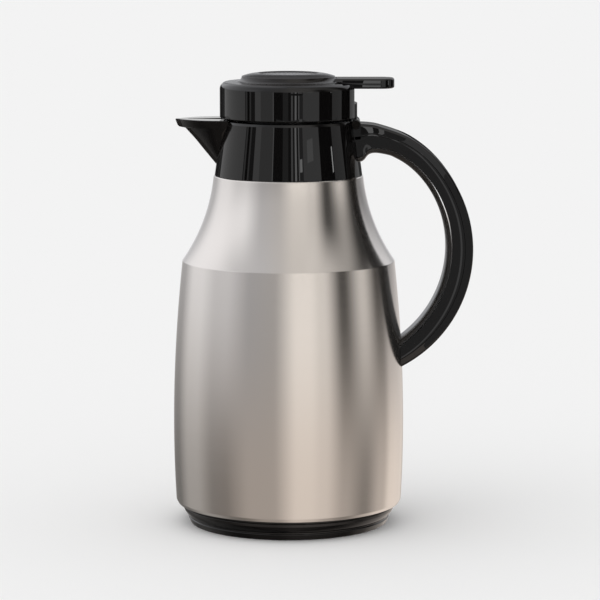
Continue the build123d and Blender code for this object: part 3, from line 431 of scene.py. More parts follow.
base = turned("base_moulding", rounded(base_outline))

# %% [markdown]
# ## The collar and its beak
# The collar is a turned cone with a 2.4 mm wall. The beak is a solid V with a flat top that a boolean
# joins to it. In plan its sides bulge before they meet at the tip. A narrow channel is cut down through
# both. The keel is rounded, which throws one thin light line along the underside.

# %% Collar cone
COLLAR_FOOT = (44.8, 213.2)
COLLAR_LOW = (44.0, 219.1)
COLLAR_TOP = (40.4, 245.1)
COLLAR_RIM = (39.9, 246.8)
COLLAR_WALL = 2.4
DECK_Z = 215.6
THROAT_R = 27.0
collar = turned("collar_cone", rounded([
    (THROAT_R, COLLAR_FOOT[1], 0), (*COLLAR_FOOT, 0.3), (*COLLAR_LOW, 6.0), (*COLLAR_TOP, 1.0),
    (*COLLAR_RIM, 0.7), (COLLAR_RIM[0] - COLLAR_WALL, COLLAR_RIM[1], 0.4),
    (COLLAR_TOP[0] - COLLAR_WALL, COLLAR_TOP[1], 0), (COLLAR_LOW[0] - COLLAR_WALL, COLLAR_LOW[1], 3.0),
    (COLLAR_FOOT[0] - COLLAR_WALL, DECK_Z, 0.5), (THROAT_R, DECK_Z, 0)]))

# %% Beak
SPOUT_RIM_Z = 247.4
SPOUT_BACK_X = 36.0
SPOUT_ROOT_X = 40.0
# how far out the keel is, its height, and half the width of the beak at that height
KEEL = [(43.6, 219.6, 2.6), (50.2, 227.6, 7.6), (56.5, 235.4, 11.9), (62.4, 241.9, 15.9),
        (66.0, 242.6, 16.3), (67.0, 243.4, 16.8), (67.9, 245.6, 18.0), (68.4, SPOUT_RIM_Z - 0.3, 18.8),
        (68.1, SPOUT_RIM_Z, 18.5)]
NOSE_R = 2.4
PLAN_SHARES = (0, 0.2, 0.4, 0.55, 0.7, 0.8, 0.88, 0.95, 1)
# the channel's tip, height and half width
CHANNEL = [(46.0, 229.4, 3.0), (53.0, 236.5, 4.0), (60.5, 245.0, 4.8), (62.0, 270.0, 5.0)]
CHANNEL_BACK_X = 28.3


def beak_section(keel_x, z, half_w):
    """Outline of the beak at one height, from the back round the nose."""
    nose_x = keel_x - NOSE_R
    side = [(SPOUT_BACK_X, half_w)]
    for share in PLAN_SHARES:
        bulge = (1 - share ** 2.2) ** 0.8
        side.append((SPOUT_ROOT_X + share * (nose_x - SPOUT_ROOT_X), NOSE_R + (half_w - NOSE_R) * bulge))
    side += [(nose_x + NOSE_R * math.sin(turn), NOSE_R * math.cos(turn))
             for turn in (math.radians(22.5 * step) for step in (1, 2, 3))]
    return [(-x, -y, z) for x, y in side] + [(-keel_x, 0, z)] + [(-x, y, z) for x, y in side[::-1]]


beak = lofted("beak", [beak_section(*row) for row in KEEL])
inner_cone = turned("inner_cone", [
    (0, DECK_Z), (COLLAR_FOOT[0] - COLLAR_WALL, DECK_Z), (COLLAR_LOW[0] - COLLAR_WALL, COLLAR_LOW[1]),
    (COLLAR_TOP[0] - COLLAR_WALL, COLLAR_TOP[1]), (COLLAR_RIM[0] - COLLAR_WALL, 255), (0, 255)])
combine(beak, inner_cone, "DIFFERENCE")
combine(collar, beak, "UNION")
channel = lofted("channel", [
    [(-CHANNEL_BACK_X, -w, z), (-SPOUT_ROOT_X, -w, z), (-tip, -0.8, z),
     (-tip, 0.8, z), (-SPOUT_ROOT_X, w, z), (-CHANNEL_BACK_X, w, z)] for tip, z, w in CHANNEL])
combine(collar, channel, "DIFFERENCE")
print("collar faces:", len(collar.data.polygons))

# %% Hinge ears
HINGE = (40.5, 244.9)
EAR_R = 3.0
EAR_HALF_W = 15.8
EAR_CORE_HALF_W = 12.5
EAR_BLOCK_LOW = 234.0
ROOT_TOP_Z = 244.0
KNUCKLE_R = 2.8
KNUCKLE_HALF_W = 10.0
MOVING_GAP = 0.4
PIN_R = 1.5
ears = slab((33.0, -EAR_CORE_HALF_W, EAR_BLOCK_LOW),
            (HINGE[0] + EAR_R, EAR_CORE_HALF_W, ROOT_TOP_Z), "ears")
ear_bar = bar_across(*HINGE, EAR_R, EAR_HALF_W)
soften_edges(ear_bar, 1.1, 4)
combine(ears, ear_bar, "UNION")
inside = turned("inside", [
    (0, DECK_Z), (COLLAR_FOOT[0] - COLLAR_WALL, DECK_Z), (COLLAR_LOW[0] - COLLAR_WALL, COLLAR_LOW[1]),
    (COLLAR_TOP[0] - COLLAR_WALL, COLLAR_TOP[1]), (COLLAR_RIM[0] - COLLAR_WALL, 255), (0, 255)])
combine(ears, inside, "DIFFERENCE")
combine(collar, ears, "UNION")
pocket_half_w = KNUCKLE_HALF_W + MOVING_GAP
pocket = slab((HINGE[0] - 5.5, -pocket_half_w, HINGE[1]), (HINGE[0] + 8, pocket_half_w, 255), "pocket")
combine(pocket, bar_across(*HINGE, KNUCKLE_R + MOVING_GAP, pocket_half_w), "UNION")
combine(collar, pocket, "DIFFERENCE")
combine(collar, bar_across(*HINGE, PIN_R + 0.05, EAR_HALF_W + 1), "DIFFERENCE")

# %% [markdown]
# ## The handle
# The back and the finger side are arcs about two different centres, so the grip is thickest half way
# down. Sections are rounded outlines laid square to the arc, carried from the foot on the belly up over
# the shoulder, and then drawn out into the wide root behind the collar. The strip on the finger side is a
# second moulding, 3 mm deep, and the joint between the two shows as a fine line.

# %% Handle sections
GRIP_CENTRE = Vector((32.0, 168.0))
GRIP_R = 79.9
FINGER_CENTRE = Vector((27.3, 169.1))
FINGER_R = 68.35
GRIP_HALF_W = 12.5
COVER_T = 3.0
PARTING = 0.5
SHOULDER_SWELL = 0.4
SHOULDER_ANGLE = 50.0
SHOULDER_SPREAD = 12.0
FINGER_FILL = 2.0
FINGER_FADE = 10.0
FOOT_ANGLE = -74.0
ARC_END_ANGLE = 60.0
ARC_STEP = 2.0
# finger side, back and half width of each section drawn out towards the collar
ROOT_STATIONS = [
    ((62.2, 225.4), (68.0, 239.2), 12.5), ((59.2, 226.1), (63.2, 240.9), 12.5),
    ((56.2, 226.7), (58.8, 242.3), 12.5), ((53.6, 227.1), (55.4, 243.3), 12.5),
    ((51.2, 227.1), (52.0, 244.2), 12.5), ((49.2, 226.6), (49.4, 244.5), 12.5),
    ((47.9, 225.7), (47.4, 244.7), 12.5), ((46.8, 224.3), (45.6, 244.8), 12.5),
    ((45.9, 222.9), (43.6, 244.9), 12.5), ((44.4, 221.9), (41.4, 244.9), 12.5),
    ((42.0, 221.4), (38.9, 244.9), 12.5)]


def grip_station(angle):
    """Finger-side point, back point and half width of the section at an angle on the arc."""
    turn = math.radians(angle)
    arm = Vector((math.cos(turn), math.sin(turn)))
    swell = SHOULDER_SWELL * math.exp(-((angle - SHOULDER_ANGLE) / SHOULDER_SPREAD) ** 2)
    back = GRIP_CENTRE + arm * (GRIP_R + swell)
    offset = GRIP_CENTRE - FINGER_CENTRE
    along = offset.dot(arm)
    reach = math.sqrt(along * along - offset.length_squared + FINGER_R ** 2) - along
    reach -= FINGER_FILL * math.exp((angle - ARC_END_ANGLE) / FINGER_FADE)
    return GRIP_CENTRE + arm * reach, back, GRIP_HALF_W


stations = [grip_station(FOOT_ANGLE + ARC_STEP * step)
            for step in range(int((ARC_END_ANGLE - FOOT_ANGLE) / ARC_STEP) + 1)]
stations += [(Vector(finger), Vector(back), half_w) for finger, back, half_w in ROOT_STATIONS]


def flowing(control, first_fine, fine=4):
    """Stations on a cubic B-spline through the control stations, closer together from one on."""
    ends = [control[0]] * 2 + control + [control[-1]] * 2
    result = [control[0]]
    for k in range(len(ends) - 3):
        steps = fine if k >= first_fine else 1
        for step in range(1, steps + 1):
            t = step / steps
            weights = ((1 - t) ** 3 / 6, (3 * t ** 3 - 6 * t ** 2 + 4) / 6,
                       (-3 * t ** 3 + 3 * t ** 2 + 3 * t + 1) / 6, t ** 3 / 6)
            mixed = [sum((part * w for part, w in zip(column[1:], weights[1:])), column[0] * weights[0])
                     for column in zip(*ends[k:k + 4])]
            result.append(tuple(mixed))
    return result


stations = flowing(stations, len(stations) - len(ROOT_STATIONS) - 3)


def section_at(station, outline):
    """Place an outline of (offset, share of the depth, width) across a station."""
    finger, back, half_w = station
    depth = (back - finger).length
    inward = (back - finger).normalized()
    points = []
    for offset, share, width in outline:
        place = finger + inward * (offset + share * depth)
        points.append((place.x, width * half_w / GRIP_HALF_W, place.y))
    return points


def both_sides(half):
    """Mirror a half outline, from the finger side round to the back."""
    return [(off, share, -w) for off, share, w in half] + [(off, share, w) for off, share, w in half[::-1]]


# offset in mm from a share of the depth (0 is the finger side, 1 the back), and the width there
shell_half = [
    (COVER_T + PARTING, 0, 3.0), (COVER_T + PARTING, 0, 10.9), (COVER_T + PARTING, 0, 11.6),
    (COVER_T + PARTING + 0.12, 0, 11.7), (0.7, 0.25, 11.95), (0, 0.36, 12.2), (0, 0.50, 12.45),
    (0, 0.60, 12.5), (0, 0.675, 12.5), (0, 0.69, 12.4), (0, 0.70, 12.05), (0, 0.71, 12.3),
    (0, 0.725, 12.36),
    (0, 0.78, 12.12), (-1.5, 1, 11.95), (-0.75, 1, 11.75), (-0.3, 1, 11.35), (-0.05, 1, 10.8),
    (0, 1, 10.2), (-0.12, 1, 8.5), (-0.3, 1, 6.0), (-0.42, 1, 2.5)]
cover_half = [
    (0.0, 0, 3.0), (0.05, 0, 7.0), (0.25, 0, 8.6), (0.65, 0, 9.8), (1.2, 0, 10.6), (1.8, 0, 11.1),
    (COVER_T - 0.6, 0, 11.4), (COVER_T, 0, 11.55), (COVER_T, 0, 10.6)]
grip = lofted("handle_moulding", [section_at(s, both_sides(shell_half)) for s in stations])
strip = lofted("finger_strip", [section_at(s, both_sides(cover_half)) for s in stations])


def jacket_body(grow):
    """Everything inside the jacket's outer face, as one solid."""
    outline = [(0, 0)] + [(r + grow, z) for r, z, _ in outer_side] + [(0, JACKET_TOP[1] + grow)]
    return turned("jacket_body", outline, 256)


for piece in (grip, strip):
    combine(piece, jacket_body(0.1), "DIFFERENCE")
    combine(piece, turned("collar_core", [
        (0, 200), (COLLAR_FOOT[0] - 1.2, 200), (COLLAR_LOW[0] - 1.2, COLLAR_LOW[1]),
        (COLLAR_TOP[0] - 1.2, 260), (0, 260)]), "DIFFERENCE")
combine(grip, bar_across(*HINGE, KNUCKLE_R + MOVING_GAP, pocket_half_w), "DIFFERENCE")
print("handle faces:", len(grip.data.polygons), len(strip.data.polygons))

# %% [markdown]
# ## The lid
# The lid is a turned cap with a rounded shoulder. A slot at the back takes the thumb lever, and a low band
# is left under it. The round plate on top is a piece of its own with a hollow edge.

# %% Lid cap
LID_R = 41.6
LID_LOW_Z = 248.4
LID_TOP_Z = 270.0
LID_WALL = 2.3
LID_SHOULDER_Z = 265.3
ANNULUS_R = 39.0
ANNULUS_Z = 269.6
RECESS_RIM_Z = 269.75
SCOOP_X = 52.0
SCOOP_R = 30.0
SCOOP_Z = 268.7
PLATE_R = 31.9
PLATE_LEDGE_Z = 268.1
PLATE_LEDGE_R = 29.5
LEDGE_T = 1.8
SLOT_HALF_W = 12.4
ABOVE_LID_Z = 280
BAND_TOP_Z = 257.0
FLANGE_Z = 248.8
roof_z = LID_TOP_Z - LID_WALL
shoulder = arc_through((LID_R, LID_SHOULDER_Z), (40.75, 268.1), (ANNULUS_R, ANNULUS_Z - 0.15), 9)
lid = turned("lid_cap", rounded([
    (LID_R - LID_WALL, LID_LOW_Z, 0.3), (LID_R, LID_LOW_Z, 0.4), (LID_R, LID_SHOULDER_Z, 0)]
    + [(r, z, 0) for r, z in shoulder] + [
    (ANNULUS_R, ANNULUS_Z - 0.15, 0.1), (ANNULUS_R - 0.3, ANNULUS_Z, 0.2),
    (PLATE_R, RECESS_RIM_Z, 0.03), (PLATE_R, PLATE_LEDGE_Z, 0), (PLATE_LEDGE_R, PLATE_LEDGE_Z, 0),
    (PLATE_LEDGE_R, PLATE_LEDGE_Z - LEDGE_T, 0), (PLATE_R + 2, PLATE_LEDGE_Z - LEDGE_T, 0),
    (PLATE_R + 2, roof_z, 0), (LID_R - LID_WALL, roof_z, 1.4)], 8))
scoop = turned("scoop", [(0, SCOOP_Z), (SCOOP_R, SCOOP_Z), (SCOOP_R, 275), (0, 275)], 96)
select_only(scoop)
bpy.ops.object.mode_set(mode="EDIT")
bpy.ops.mesh.select_all(action="SELECT")
bpy.ops.transform.translate(value=(SCOOP_X * MM, 0, 0))
bpy.ops.object.mode_set(mode="OBJECT")
within = turned("within", [
    (0, SCOOP_Z - 5), (PLATE_R, SCOOP_Z - 5), (PLATE_R, ABOVE_LID_Z), (0, ABOVE_LID_Z)])
combine(scoop, within, "DIFFERENCE")
combine(lid, scoop, "DIFFERENCE")
slot = slab((PLATE_R - 8, -SLOT_HALF_W, BAND_TOP_Z), (LID_R + 5, SLOT_HALF_W, LID_TOP_Z + 5), "slot")
ledge_low_z = PLATE_LEDGE_Z - LEDGE_T
keep = turned("keep", [
    (0, ledge_low_z), (PLATE_R, ledge_low_z), (PLATE_R, ABOVE_LID_Z), (0, ABOVE_LID_Z)])
combine(slot, keep, "DIFFERENCE")
combine(lid, slot, "DIFFERENCE")
knuckle = bar_across(*HINGE, KNUCKLE_R, KNUCKLE_HALF_W, "knuckle")
web = slab((HINGE[0] - 2, -KNUCKLE_HALF_W, HINGE[1]), (HINGE[0] + 0.7, KNUCKLE_HALF_W, FLANGE_Z - 0.1))
combine(knuckle, web, "UNION")
combine(lid, knuckle, "UNION")
combine(lid, bar_across(*HINGE, PIN_R + 0.05, 20), "DIFFERENCE")

# %% Lid plate
PLATE_EDGE = (28.2, 273.1)
DISH_RIM = (18.7, 275.0)
DISH_R = 17.2
DISH_Z = 274.35
PLATE_T = 2.2
plate_rim = (PLATE_R - 0.05, RECESS_RIM_Z)
cove = (29.26, 270.82)
crown = (24.2, 274.3)
plate_outline = [(*plate_rim, 0)]
plate_outline += [(r, z, 0) for r, z in arc_through(plate_rim, cove, PLATE_EDGE, 10)]
plate_outline += [(*PLATE_EDGE, 0.25)]
plate_outline += [(r, z, 0) for r, z in arc_through(PLATE_EDGE, crown, DISH_RIM, 10)]
plate_outline += [(*DISH_RIM, 0.5), (DISH_R, DISH_Z, 0.3), (0, DISH_Z, 0), (0, DISH_Z - PLATE_T, 0),
                  (DISH_R, DISH_Z - PLATE_T, 0), (PLATE_EDGE[0] - PLATE_T, PLATE_EDGE[1] - PLATE_T, 0),
                  (28.0, PLATE_LEDGE_Z, 0), (plate_rim[0], PLATE_LEDGE_Z, 0)]
plate = turned("lid_plate", rounded(plate_outline))

# %% [markdown]
# ## The thumb lever
# A paddle that the thumb pushes down, standing out of the lid over the handle. It starts as a cube, is
# drawn to its outline, and gets rounded corners and edges. Its cranked arm and fork stay the CAD shape, so
# a copy of the CAD mesh gives them.

# %% Lever
LEVER_START_X = 27.0
LEVER_END_X = 63.9
LEVER_HALF_W = 11.2
LEVER_TOP_Z = 272.0
LEVER_LOW_Z = 266.0
LEVER_CORNER = 8.5
LEVER_JOIN_X = 33.8

paddle = slab((LEVER_START_X, -LEVER_HALF_W, LEVER_LOW_Z), (LEVER_END_X, LEVER_HALF_W, LEVER_TOP_Z), "paddle")
pick_edges(paddle, lambda a, b: a.x > LEVER_END_X - 0.1 and b.x > LEVER_END_X - 0.1 and abs(a.z - b.z) > 1)
bpy.ops.mesh.bevel(offset=LEVER_CORNER * MM, segments=12)
bpy.ops.object.mode_set(mode="OBJECT")
pick_edges(paddle, lambda a, b: abs(a.z - b.z) < 0.1 and min(a.x, b.x) > LEVER_START_X + 0.1
           or abs(a.z - b.z) < 0.1 and abs(a.y - b.y) < 0.1)
bpy.ops.mesh.bevel(offset=1.1 * MM, segments=4)
bpy.ops.object.mode_set(mode="OBJECT")
# room for the plate's hollow edge
combine(paddle, turned("plate_room", [
    (0, 260), (32.7, 260), (32.7, 269.1), (30.8, 270.1), (29.8, 271.3), (29.2, 273), (29.2, 280),
    (0, 280)]), "DIFFERENCE")
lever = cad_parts["thumb_lever"].copy()
lever.data = lever.data.copy()
lever.name = "lever_moulding"
bpy.context.scene.collection.objects.link(lever)
lever.parent = None
close_up(lever)
combine(lever, slab((-20, -30, 240), (LEVER_JOIN_X, 30, 290)), "INTERSECT")
combine(lever, paddle, "UNION")
print("lever faces:", len(lever.data.polygons))

# %% [markdown]
# ## The valve spring
# A steel wire wound round the valve's stem, which holds the valve shut and shortens as it lifts. A rigid
# coil would cut into the rising disc. This one is a new mesh: a small circle that a Screw modifier winds
# up, with both ends filled.

# %% Spring
SPRING_R = 6.0
WIRE_R = 0.5
SPRING_TURNS = 4.5
WIRE_SIDES = 12
STEPS_A_TURN = 32
spring_low, spring_high = (corner[2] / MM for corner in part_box("valve_spring"))

bpy.ops.object.select_all(action="DESELECT")
bpy.ops.mesh.primitive_circle_add(
    vertices=WIRE_SIDES, radius=WIRE_R * MM, location=(SPRING_R * MM, 0, (spring_low + WIRE_R) * MM),
    rotation=(math.pi / 2, 0, 0))
spring = bpy.context.object
spring.name = "valve_coil"
bpy.ops.object.transform_apply(location=True, rotation=True, scale=True)
coil = spring.modifiers.new("coil", "SCREW")
coil.angle = 2 * math.pi * SPRING_TURNS
coil.screw_offset = (spring_high - spring_low - 2 * WIRE_R) * MM
coil.steps = coil.render_steps = int(STEPS_A_TURN * SPRING_TURNS)
bpy.ops.object.modifier_apply(modifier="coil")
bpy.ops.object.mode_set(mode="EDIT")
bpy.ops.mesh.select_all(action="SELECT")
bpy.ops.mesh.fill_holes(sides=0)
bpy.ops.mesh.select_all(action="SELECT")
bpy.ops.mesh.normals_make_consistent(inside=False)
bpy.ops.object.mode_set(mode="OBJECT")
print("spring faces:", len(spring.data.polygons), "height, mm:", round(spring_high - spring_low, 2))

# %% [markdown]
# ## Dress every piece
# Each new piece rides on the body that carries it, stands for its CAD node, which is hidden, and gets its
# finish. The CAD nodes that stay visible keep their shape and get a finish.

# %% Ride, replace and finish
NEW_PIECES = [
    (jacket, jacket_steel, "carafe", "steel_jacket", "outer_shell"),
    (base, gloss_abs, "carafe", "black_plastic", "base_cap"),
    (collar, gloss_abs, "carafe", "black_plastic", "collar"),
    (grip, gloss_abs, "carafe", "black_plastic", "handle_shell"),
    (strip, fine_satin_abs, "carafe", "black_plastic", "handle_inner_cover"),
    (lid, gloss_abs, "lid", "black_plastic", "lid_shell"),
    (plate, satin_abs, "lid", "black_plastic", "lid_top_plate"),
    (lever, gloss_abs, "lever", "black_plastic", "thumb_lever"),
    (spring, pin_steel, "lid", "steel_hardware", "valve_spring"),
]
for piece, finish, body, slot_name, node_name in NEW_PIECES:
    smooth(piece)
    piece.data.materials.clear()
    piece.data.materials.append(finish)
    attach(piece, body)
    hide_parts(node_name)
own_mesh(spring)

KEPT_NODES = {
    "base_pad": soft_rubber, "liner_cushion": soft_rubber, "neck_gasket": silicone,
    "stopper_gasket": silicone, "valve_gasket": silicone, "liner_spacers": foam,
    "stopper_insulation": foam, "liner_outer_glass": silvered_glass, "liner_inner_glass": silvered_glass,
    "base_ring_nut": inner_nylon, "collar_ring_nut": inner_nylon, "pour_funnel": inner_nylon,
    "stopper_housing": inner_nylon, "valve_chamber": inner_nylon, "stem_head": inner_nylon,
    "valve_disc": inner_nylon, "valve_nut": inner_nylon, "handle_upper_screws": pin_steel,
    "handle_lower_screw": pin_steel, "handle_bracket": pin_steel, "hinge_pin": black_oxide,
    "lid_screws": black_oxide, "lever_pin": pin_steel, "valve_stem": pin_steel,
}
for node_name, finish in KEPT_NODES.items():
    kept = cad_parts[node_name]
    kept.data.materials.clear()
    kept.data.materials.append(finish)

# %% [markdown]
# The lid's flat ring round the plate is satin, like the plate, while its side is polished. Faces are
# picked by their normal and height.

# %% Satin ring on the lid
lid.data.materials.append(satin_abs)
for face in lid.data.polygons:
    if face.normal.z > 0.8 and face.center.z > (ANNULUS_Z - 0.3) * MM:
        face.material_index = 1

# %% [markdown]
# ## The studio
# The floor is a pale sheet under an even sky, which leaves only a soft contact shadow. What steel and
# polished plastic show is what stands round them, so the sky that reflections see holds a ring of light
# panels with dark gaps between, as a product studio has. Azimuth 0 is towards the camera and +90 is on
# the handle's side. Brightness is given low, level and high.

# %% Light panels
PAPER = "#F3F3F3"
# start and end in degrees, then the brightness low, level, high and overhead; the gaps are soft
PANELS = [
    (-180, -172, 0.30, 0.90, 0.16, 0.60), (-160, -143, 0.18, 0.60, 1.10, 0.95),
    (-123, -103, 0.42, 1.05, 1.20, 1.00), (-84, -66, 0.22, 0.78, 1.12, 0.70),
    (-42, -13, 0.48, 0.45, 0.62, 0.66), (7, 24, 0.90, 1.10, 0.84, 0.78),
    (32, 40, 0.82, 0.90, 0.74, 0.82), (56, 63, 0.54, 0.05, 0.05, 0.70),
    (81, 88, 0.26, 0.80, 0.40, 0.50), (105, 114, 0.65, 0.03, 0.03, 0.10),
    (123, 138, 1.00, 0.25, 0.90, 1.20), (150, 158, 0.90, 0.40, 1.05, 0.70),
    (172, 180, 0.50, 0.90, 0.16, 0.60)]
COOL, MILD, WARM = "#FAFBFF", "#FFFBF7", "#FFF3E9"
# sine of the elevation where each band fades into the next one
BAND_FADES = [(-0.20, -0.03), (0.05, 0.30), (0.48, 0.80)]
# what reflections see of the floor: satin and brushed ones the paper, mirror-sharp ones its dark edge
NADIR_BROAD, NADIR_SHARP = 0.85, 0.25


def ramp(tree, factor, stops, interpolation):
    """Colour ramp round the horizon from (azimuth, colour) stops."""
    node = add_node(tree, "ShaderNodeValToRGB", {"Fac": factor})
    node.color_ramp.interpolation = interpolation
    elements = node.color_ramp.elements
    elements[0].position = (stops[0][0] + 180) / 360
    elements[-1].position = (stops[-1][0] + 180) / 360
    for azimuth, _ in stops[1:-1]:
        elements.new((azimuth + 180) / 360)
    for element, (azimuth, colour) in zip(elements, stops):
        element.position = (azimuth + 180) / 360
        element.color = colour
    return node.outputs["Color"]


def grey(level):
    """Neutral colour of one brightness."""
    return (level, level, level, 1)


def blend(tree, factor, below, above):
    """Mix two colours by a factor."""
    node = add_node(tree, "ShaderNodeMix", {"Factor": factor, 6: below, 7: above}, data_type="RGBA")
    return node.outputs[2]


# %% Sky
sky = bpy.data.worlds.new("studio_sky")
bpy.context.scene.world = sky
sky.use_nodes = True
sky_tree = sky.node_tree
sky_tree.nodes.clear()
direction = add_node(sky_tree, "ShaderNodeTexCoord")


def turn_share(tree, vector):
    """Azimuth of a vector as a share of the full turn, 0.5 towards the camera."""
    parts = add_node(tree, "ShaderNodeSeparateXYZ", {"Vector": vector})
    toward = add_node(tree, "ShaderNodeMath", {0: parts.outputs["Y"], 1: -1.0}, operation="MULTIPLY")
    azimuth = add_node(tree, "ShaderNodeMath", {0: parts.outputs["X"], 1: toward.outputs[0]},
                       operation="ARCTAN2")
    share = add_node(tree, "ShaderNodeMapRange", {
        "Value": azimuth.outputs[0], "From Min": -math.pi, "From Max": math.pi})
    return share.outputs[0], parts.outputs["Z"]


share, climb = turn_share(sky_tree, direction.outputs["Generated"])
low, level, high, overhead = [
    ramp(sky_tree, share, [(azimuth, grey(panel[2 + which])) for panel in PANELS for azimuth in panel[:2]],
         "LINEAR") for which in range(4)]
whole_sky = low
for (bottom, top), colours in zip(BAND_FADES, (level, high, overhead)):
    rise = add_node(sky_tree, "ShaderNodeMapRange", {
        "Value": climb, "From Min": bottom, "From Max": top})
    whole_sky = blend(sky_tree, rise.outputs[0], whole_sky, colours)
high_tint = ramp(sky_tree, share, [
    (-180, linear(COOL)), (-40, linear(COOL)), (5, linear(MILD)), (105, linear(MILD)), (130, linear(COOL)),
    (180, linear(COOL))], "LINEAR")
low_tint = ramp(sky_tree, share, [
    (-180, linear(MILD)), (-105, linear(MILD)), (-66, linear(WARM)), (180, linear(WARM))], "LINEAR")
warmth = add_node(sky_tree, "ShaderNodeMapRange", {
    "Value": climb, "From Min": BAND_FADES[0][0], "From Max": BAND_FADES[0][1]})
tint = blend(sky_tree, warmth.outputs[0], low_tint, high_tint)
tinted = add_node(sky_tree, "ShaderNodeMix", {"Factor": 1.0, 6: whole_sky, 7: tint},
                  data_type="RGBA", blend_type="MULTIPLY")
ray = add_node(sky_tree, "ShaderNodeLightPath")
under = add_node(sky_tree, "ShaderNodeMapRange", {
    "Value": ray.outputs["Is Singular Ray"], "To Min": NADIR_BROAD, "To Max": NADIR_SHARP})
nadir = add_node(sky_tree, "ShaderNodeMapRange", {
    "Value": climb, "From Min": -0.85, "From Max": -0.35, "To Min": under.outputs[0]})
panels_seen = add_node(sky_tree, "ShaderNodeBackground", {
    "Color": tinted.outputs[2], "Strength": nadir.outputs[0]})
SKY_DIFFUSE = 0.90
even = add_node(sky_tree, "ShaderNodeBackground", {"Color": linear("#FFFFFF"), "Strength": SKY_DIFFUSE})
paper_seen = add_node(sky_tree, "ShaderNodeBackground", {"Color": linear(PAPER), "Strength": 1.0})
for_gloss = add_node(sky_tree, "ShaderNodeMixShader", {
    0: ray.outputs["Is Glossy Ray"], 1: even.outputs[0], 2: panels_seen.outputs[0]})
for_eye = add_node(sky_tree, "ShaderNodeMixShader", {
    0: ray.outputs["Is Camera Ray"], 1: for_gloss.outputs[0], 2: paper_seen.outputs[0]})
add_node(sky_tree, "ShaderNodeOutputWorld", {"Surface": for_eye.outputs[0]})

# %% [markdown]
# The lid's side and the collar are polished, and they mirror a narrow belt of the room. A ring of cards
# stands there, 0.3 m away, seen by mirror-sharp reflections only. It is near, so each bar is moved a
# little towards the camera, to where the polished side really sees it. Small cards in front of it give the
# gleams on the collar and the two tones of the lever's edge.

# %% Ring of cards
CARD_R = 0.3
CARD_LOW_Z, CARD_TOP_Z = 0.190, 0.302
# narrow bars: where each starts, and its brightness
BARS = [
    (-180, 0.85), (-168, 0.03), (-146, 0.08), (-134, 0.74),
    (-78, 0.10), (-75.5, 0.45), (-73.5, 0.0), (-69, 0.45),
    (-66, 0.08), (-58, 0.85), (-47, 0.55), (-27, 1.20), (-24.3, 0.02), (-10, 0.24), (-1, 0.05),
    (3.6, 0.95), (7, 0.10), (10.3, 2.00), (13.2, 0.10), (15.4, 1.50), (18, 0.25), (24, 0.70),
    (52, 0.0), (77.7, 0.40), (99.9, 0.0), (123.8, 0.40), (146, 0.08), (160, 0.03), (167, 0.24)]
# start and end in degrees, low and top height, brightness: three gleams on the collar, two tones for the
# lever's edge, and three for the handle's flank
CARDS = [
    (74.6, 76.6, 0.2490, 0.2670, 4.5), (18.6, 22.4, 0.2630, 0.2720, 2.6), (31, 41, 0.2680, 0.2835, 1.15),
    (3, 24, 0.2462, 0.2483, 0.08), (3, 24, 0.2483, 0.2540, 0.75),
    (-20, 18, 0.020, 0.2295, 0.30), (18, 23, 0.020, 0.2295, 1.0), (23, 90, 0.020, 0.2295, 0.32)]


def seen_on_ring(azimuth):
    """Azimuth on the ring at which the lid's side sees a far azimuth."""
    if abs(azimuth) >= 180:
        return azimuth
    near = LID_R * MM / CARD_R * math.sin(math.radians(azimuth / 2))
    return azimuth - math.degrees(math.asin(near))


def lit_card(card, name, colour_of):
    """Stage a card that shines in mirror-sharp reflections and is clear to every other ray."""
    card.name = name
    for hidden_from in ("visible_camera", "visible_diffuse", "visible_transmission", "visible_shadow",
                        "visible_volume_scatter"):
        setattr(card, hidden_from, False)
    paint, tree = new_finish(name + "_lit")
    shine = add_node(tree, "ShaderNodeEmission", {"Color": colour_of(tree)})
    seen_by = add_node(tree, "ShaderNodeLightPath")
    close_finish(tree, add_node(tree, "ShaderNodeMixShader", {
        0: seen_by.outputs["Is Singular Ray"], 1: add_node(tree, "ShaderNodeBsdfTransparent").outputs[0],
        2: shine.outputs[0]}))
    card.data.materials.append(paint)


def bar_colour(tree):
    """Brightness of the bars round the ring."""
    ring_share, _ = turn_share(tree, add_node(tree, "ShaderNodeTexCoord").outputs["Object"])
    stops = [(seen_on_ring(azimuth), grey(value)) for azimuth, value in BARS]
    return ramp(tree, ring_share, stops, "CONSTANT")


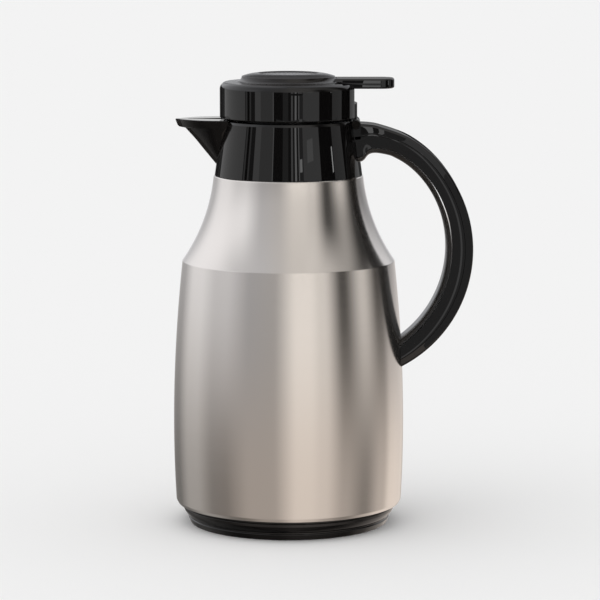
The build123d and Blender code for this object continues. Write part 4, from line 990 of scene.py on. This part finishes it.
bpy.ops.object.select_all(action="DESELECT")
bpy.ops.mesh.primitive_cylinder_add(
    vertices=96, radius=CARD_R, depth=CARD_TOP_Z - CARD_LOW_Z, end_fill_type="NOTHING",
    location=(0, 0, (CARD_LOW_Z + CARD_TOP_Z) / 2))
bpy.ops.object.transform_apply(location=True)
lit_card(bpy.context.object, "card_ring", bar_colour)
for count, (start, end, low_z, top_z, value) in enumerate(CARDS):
    near_r = (CARD_R - 0.004) / MM
    corners = [(near_r * math.sin(math.radians(seen_on_ring(azimuth))),
                -near_r * math.cos(math.radians(seen_on_ring(azimuth)))) for azimuth in (start, end)]
    card = lofted("card_%d" % count, [
        [(x, y, z / MM) for x, y in corners] + [(x * 1.005, y * 1.005, z / MM) for x, y in corners[::-1]]
        for z in (low_z, top_z)])
    lit_card(card, card.name, lambda tree, value=value: grey(value))

# %% Sun and floor
SUN_LEVEL = 0.10
SUN_TILT = 35.0
bpy.ops.object.select_all(action="DESELECT")
bpy.ops.object.light_add(type="SUN", location=(-0.6, -0.4, 1.2),
                         rotation=(math.radians(SUN_TILT * 0.5), math.radians(-SUN_TILT), 0))
sun = bpy.context.object
sun.name = "soft_top_light"
sun.data.angle = math.radians(70)
sun_drop = (sun.matrix_world.to_quaternion() @ Vector((0, 0, -1))).z
sun.data.energy = SUN_LEVEL * math.pi / abs(sun_drop)
sun.visible_glossy = False

FLOOR_SIZE = 60.0
bpy.ops.mesh.primitive_plane_add(size=FLOOR_SIZE, location=(0, 0, 0))
floor = bpy.context.object
floor.name = "paper_floor"
floor.visible_glossy = False
paper, paper_tree = new_finish("matt_paper")
close_finish(paper_tree, add_node(paper_tree, "ShaderNodeBsdfDiffuse", {"Color": linear(PAPER)}))
floor.data.materials.append(paper)

# %% [markdown]
# ## The camera
# A long lens, 1.83 m away and tipped down 8 degrees, looks a little above the middle of the carafe.

# %% Camera
CAMERA_FROM = (0.007, -1.8122, 0.3912)
CAMERA_TIP = 82.0
bpy.ops.object.camera_add(location=CAMERA_FROM, rotation=(math.radians(CAMERA_TIP), 0, 0))
camera = bpy.context.object
camera.data.lens = 180
camera.data.sensor_width = 36
bpy.context.scene.camera = camera
bpy.context.scene.view_settings.view_transform = "Standard"

# %% Update the scene
bpy.context.view_layer.update()
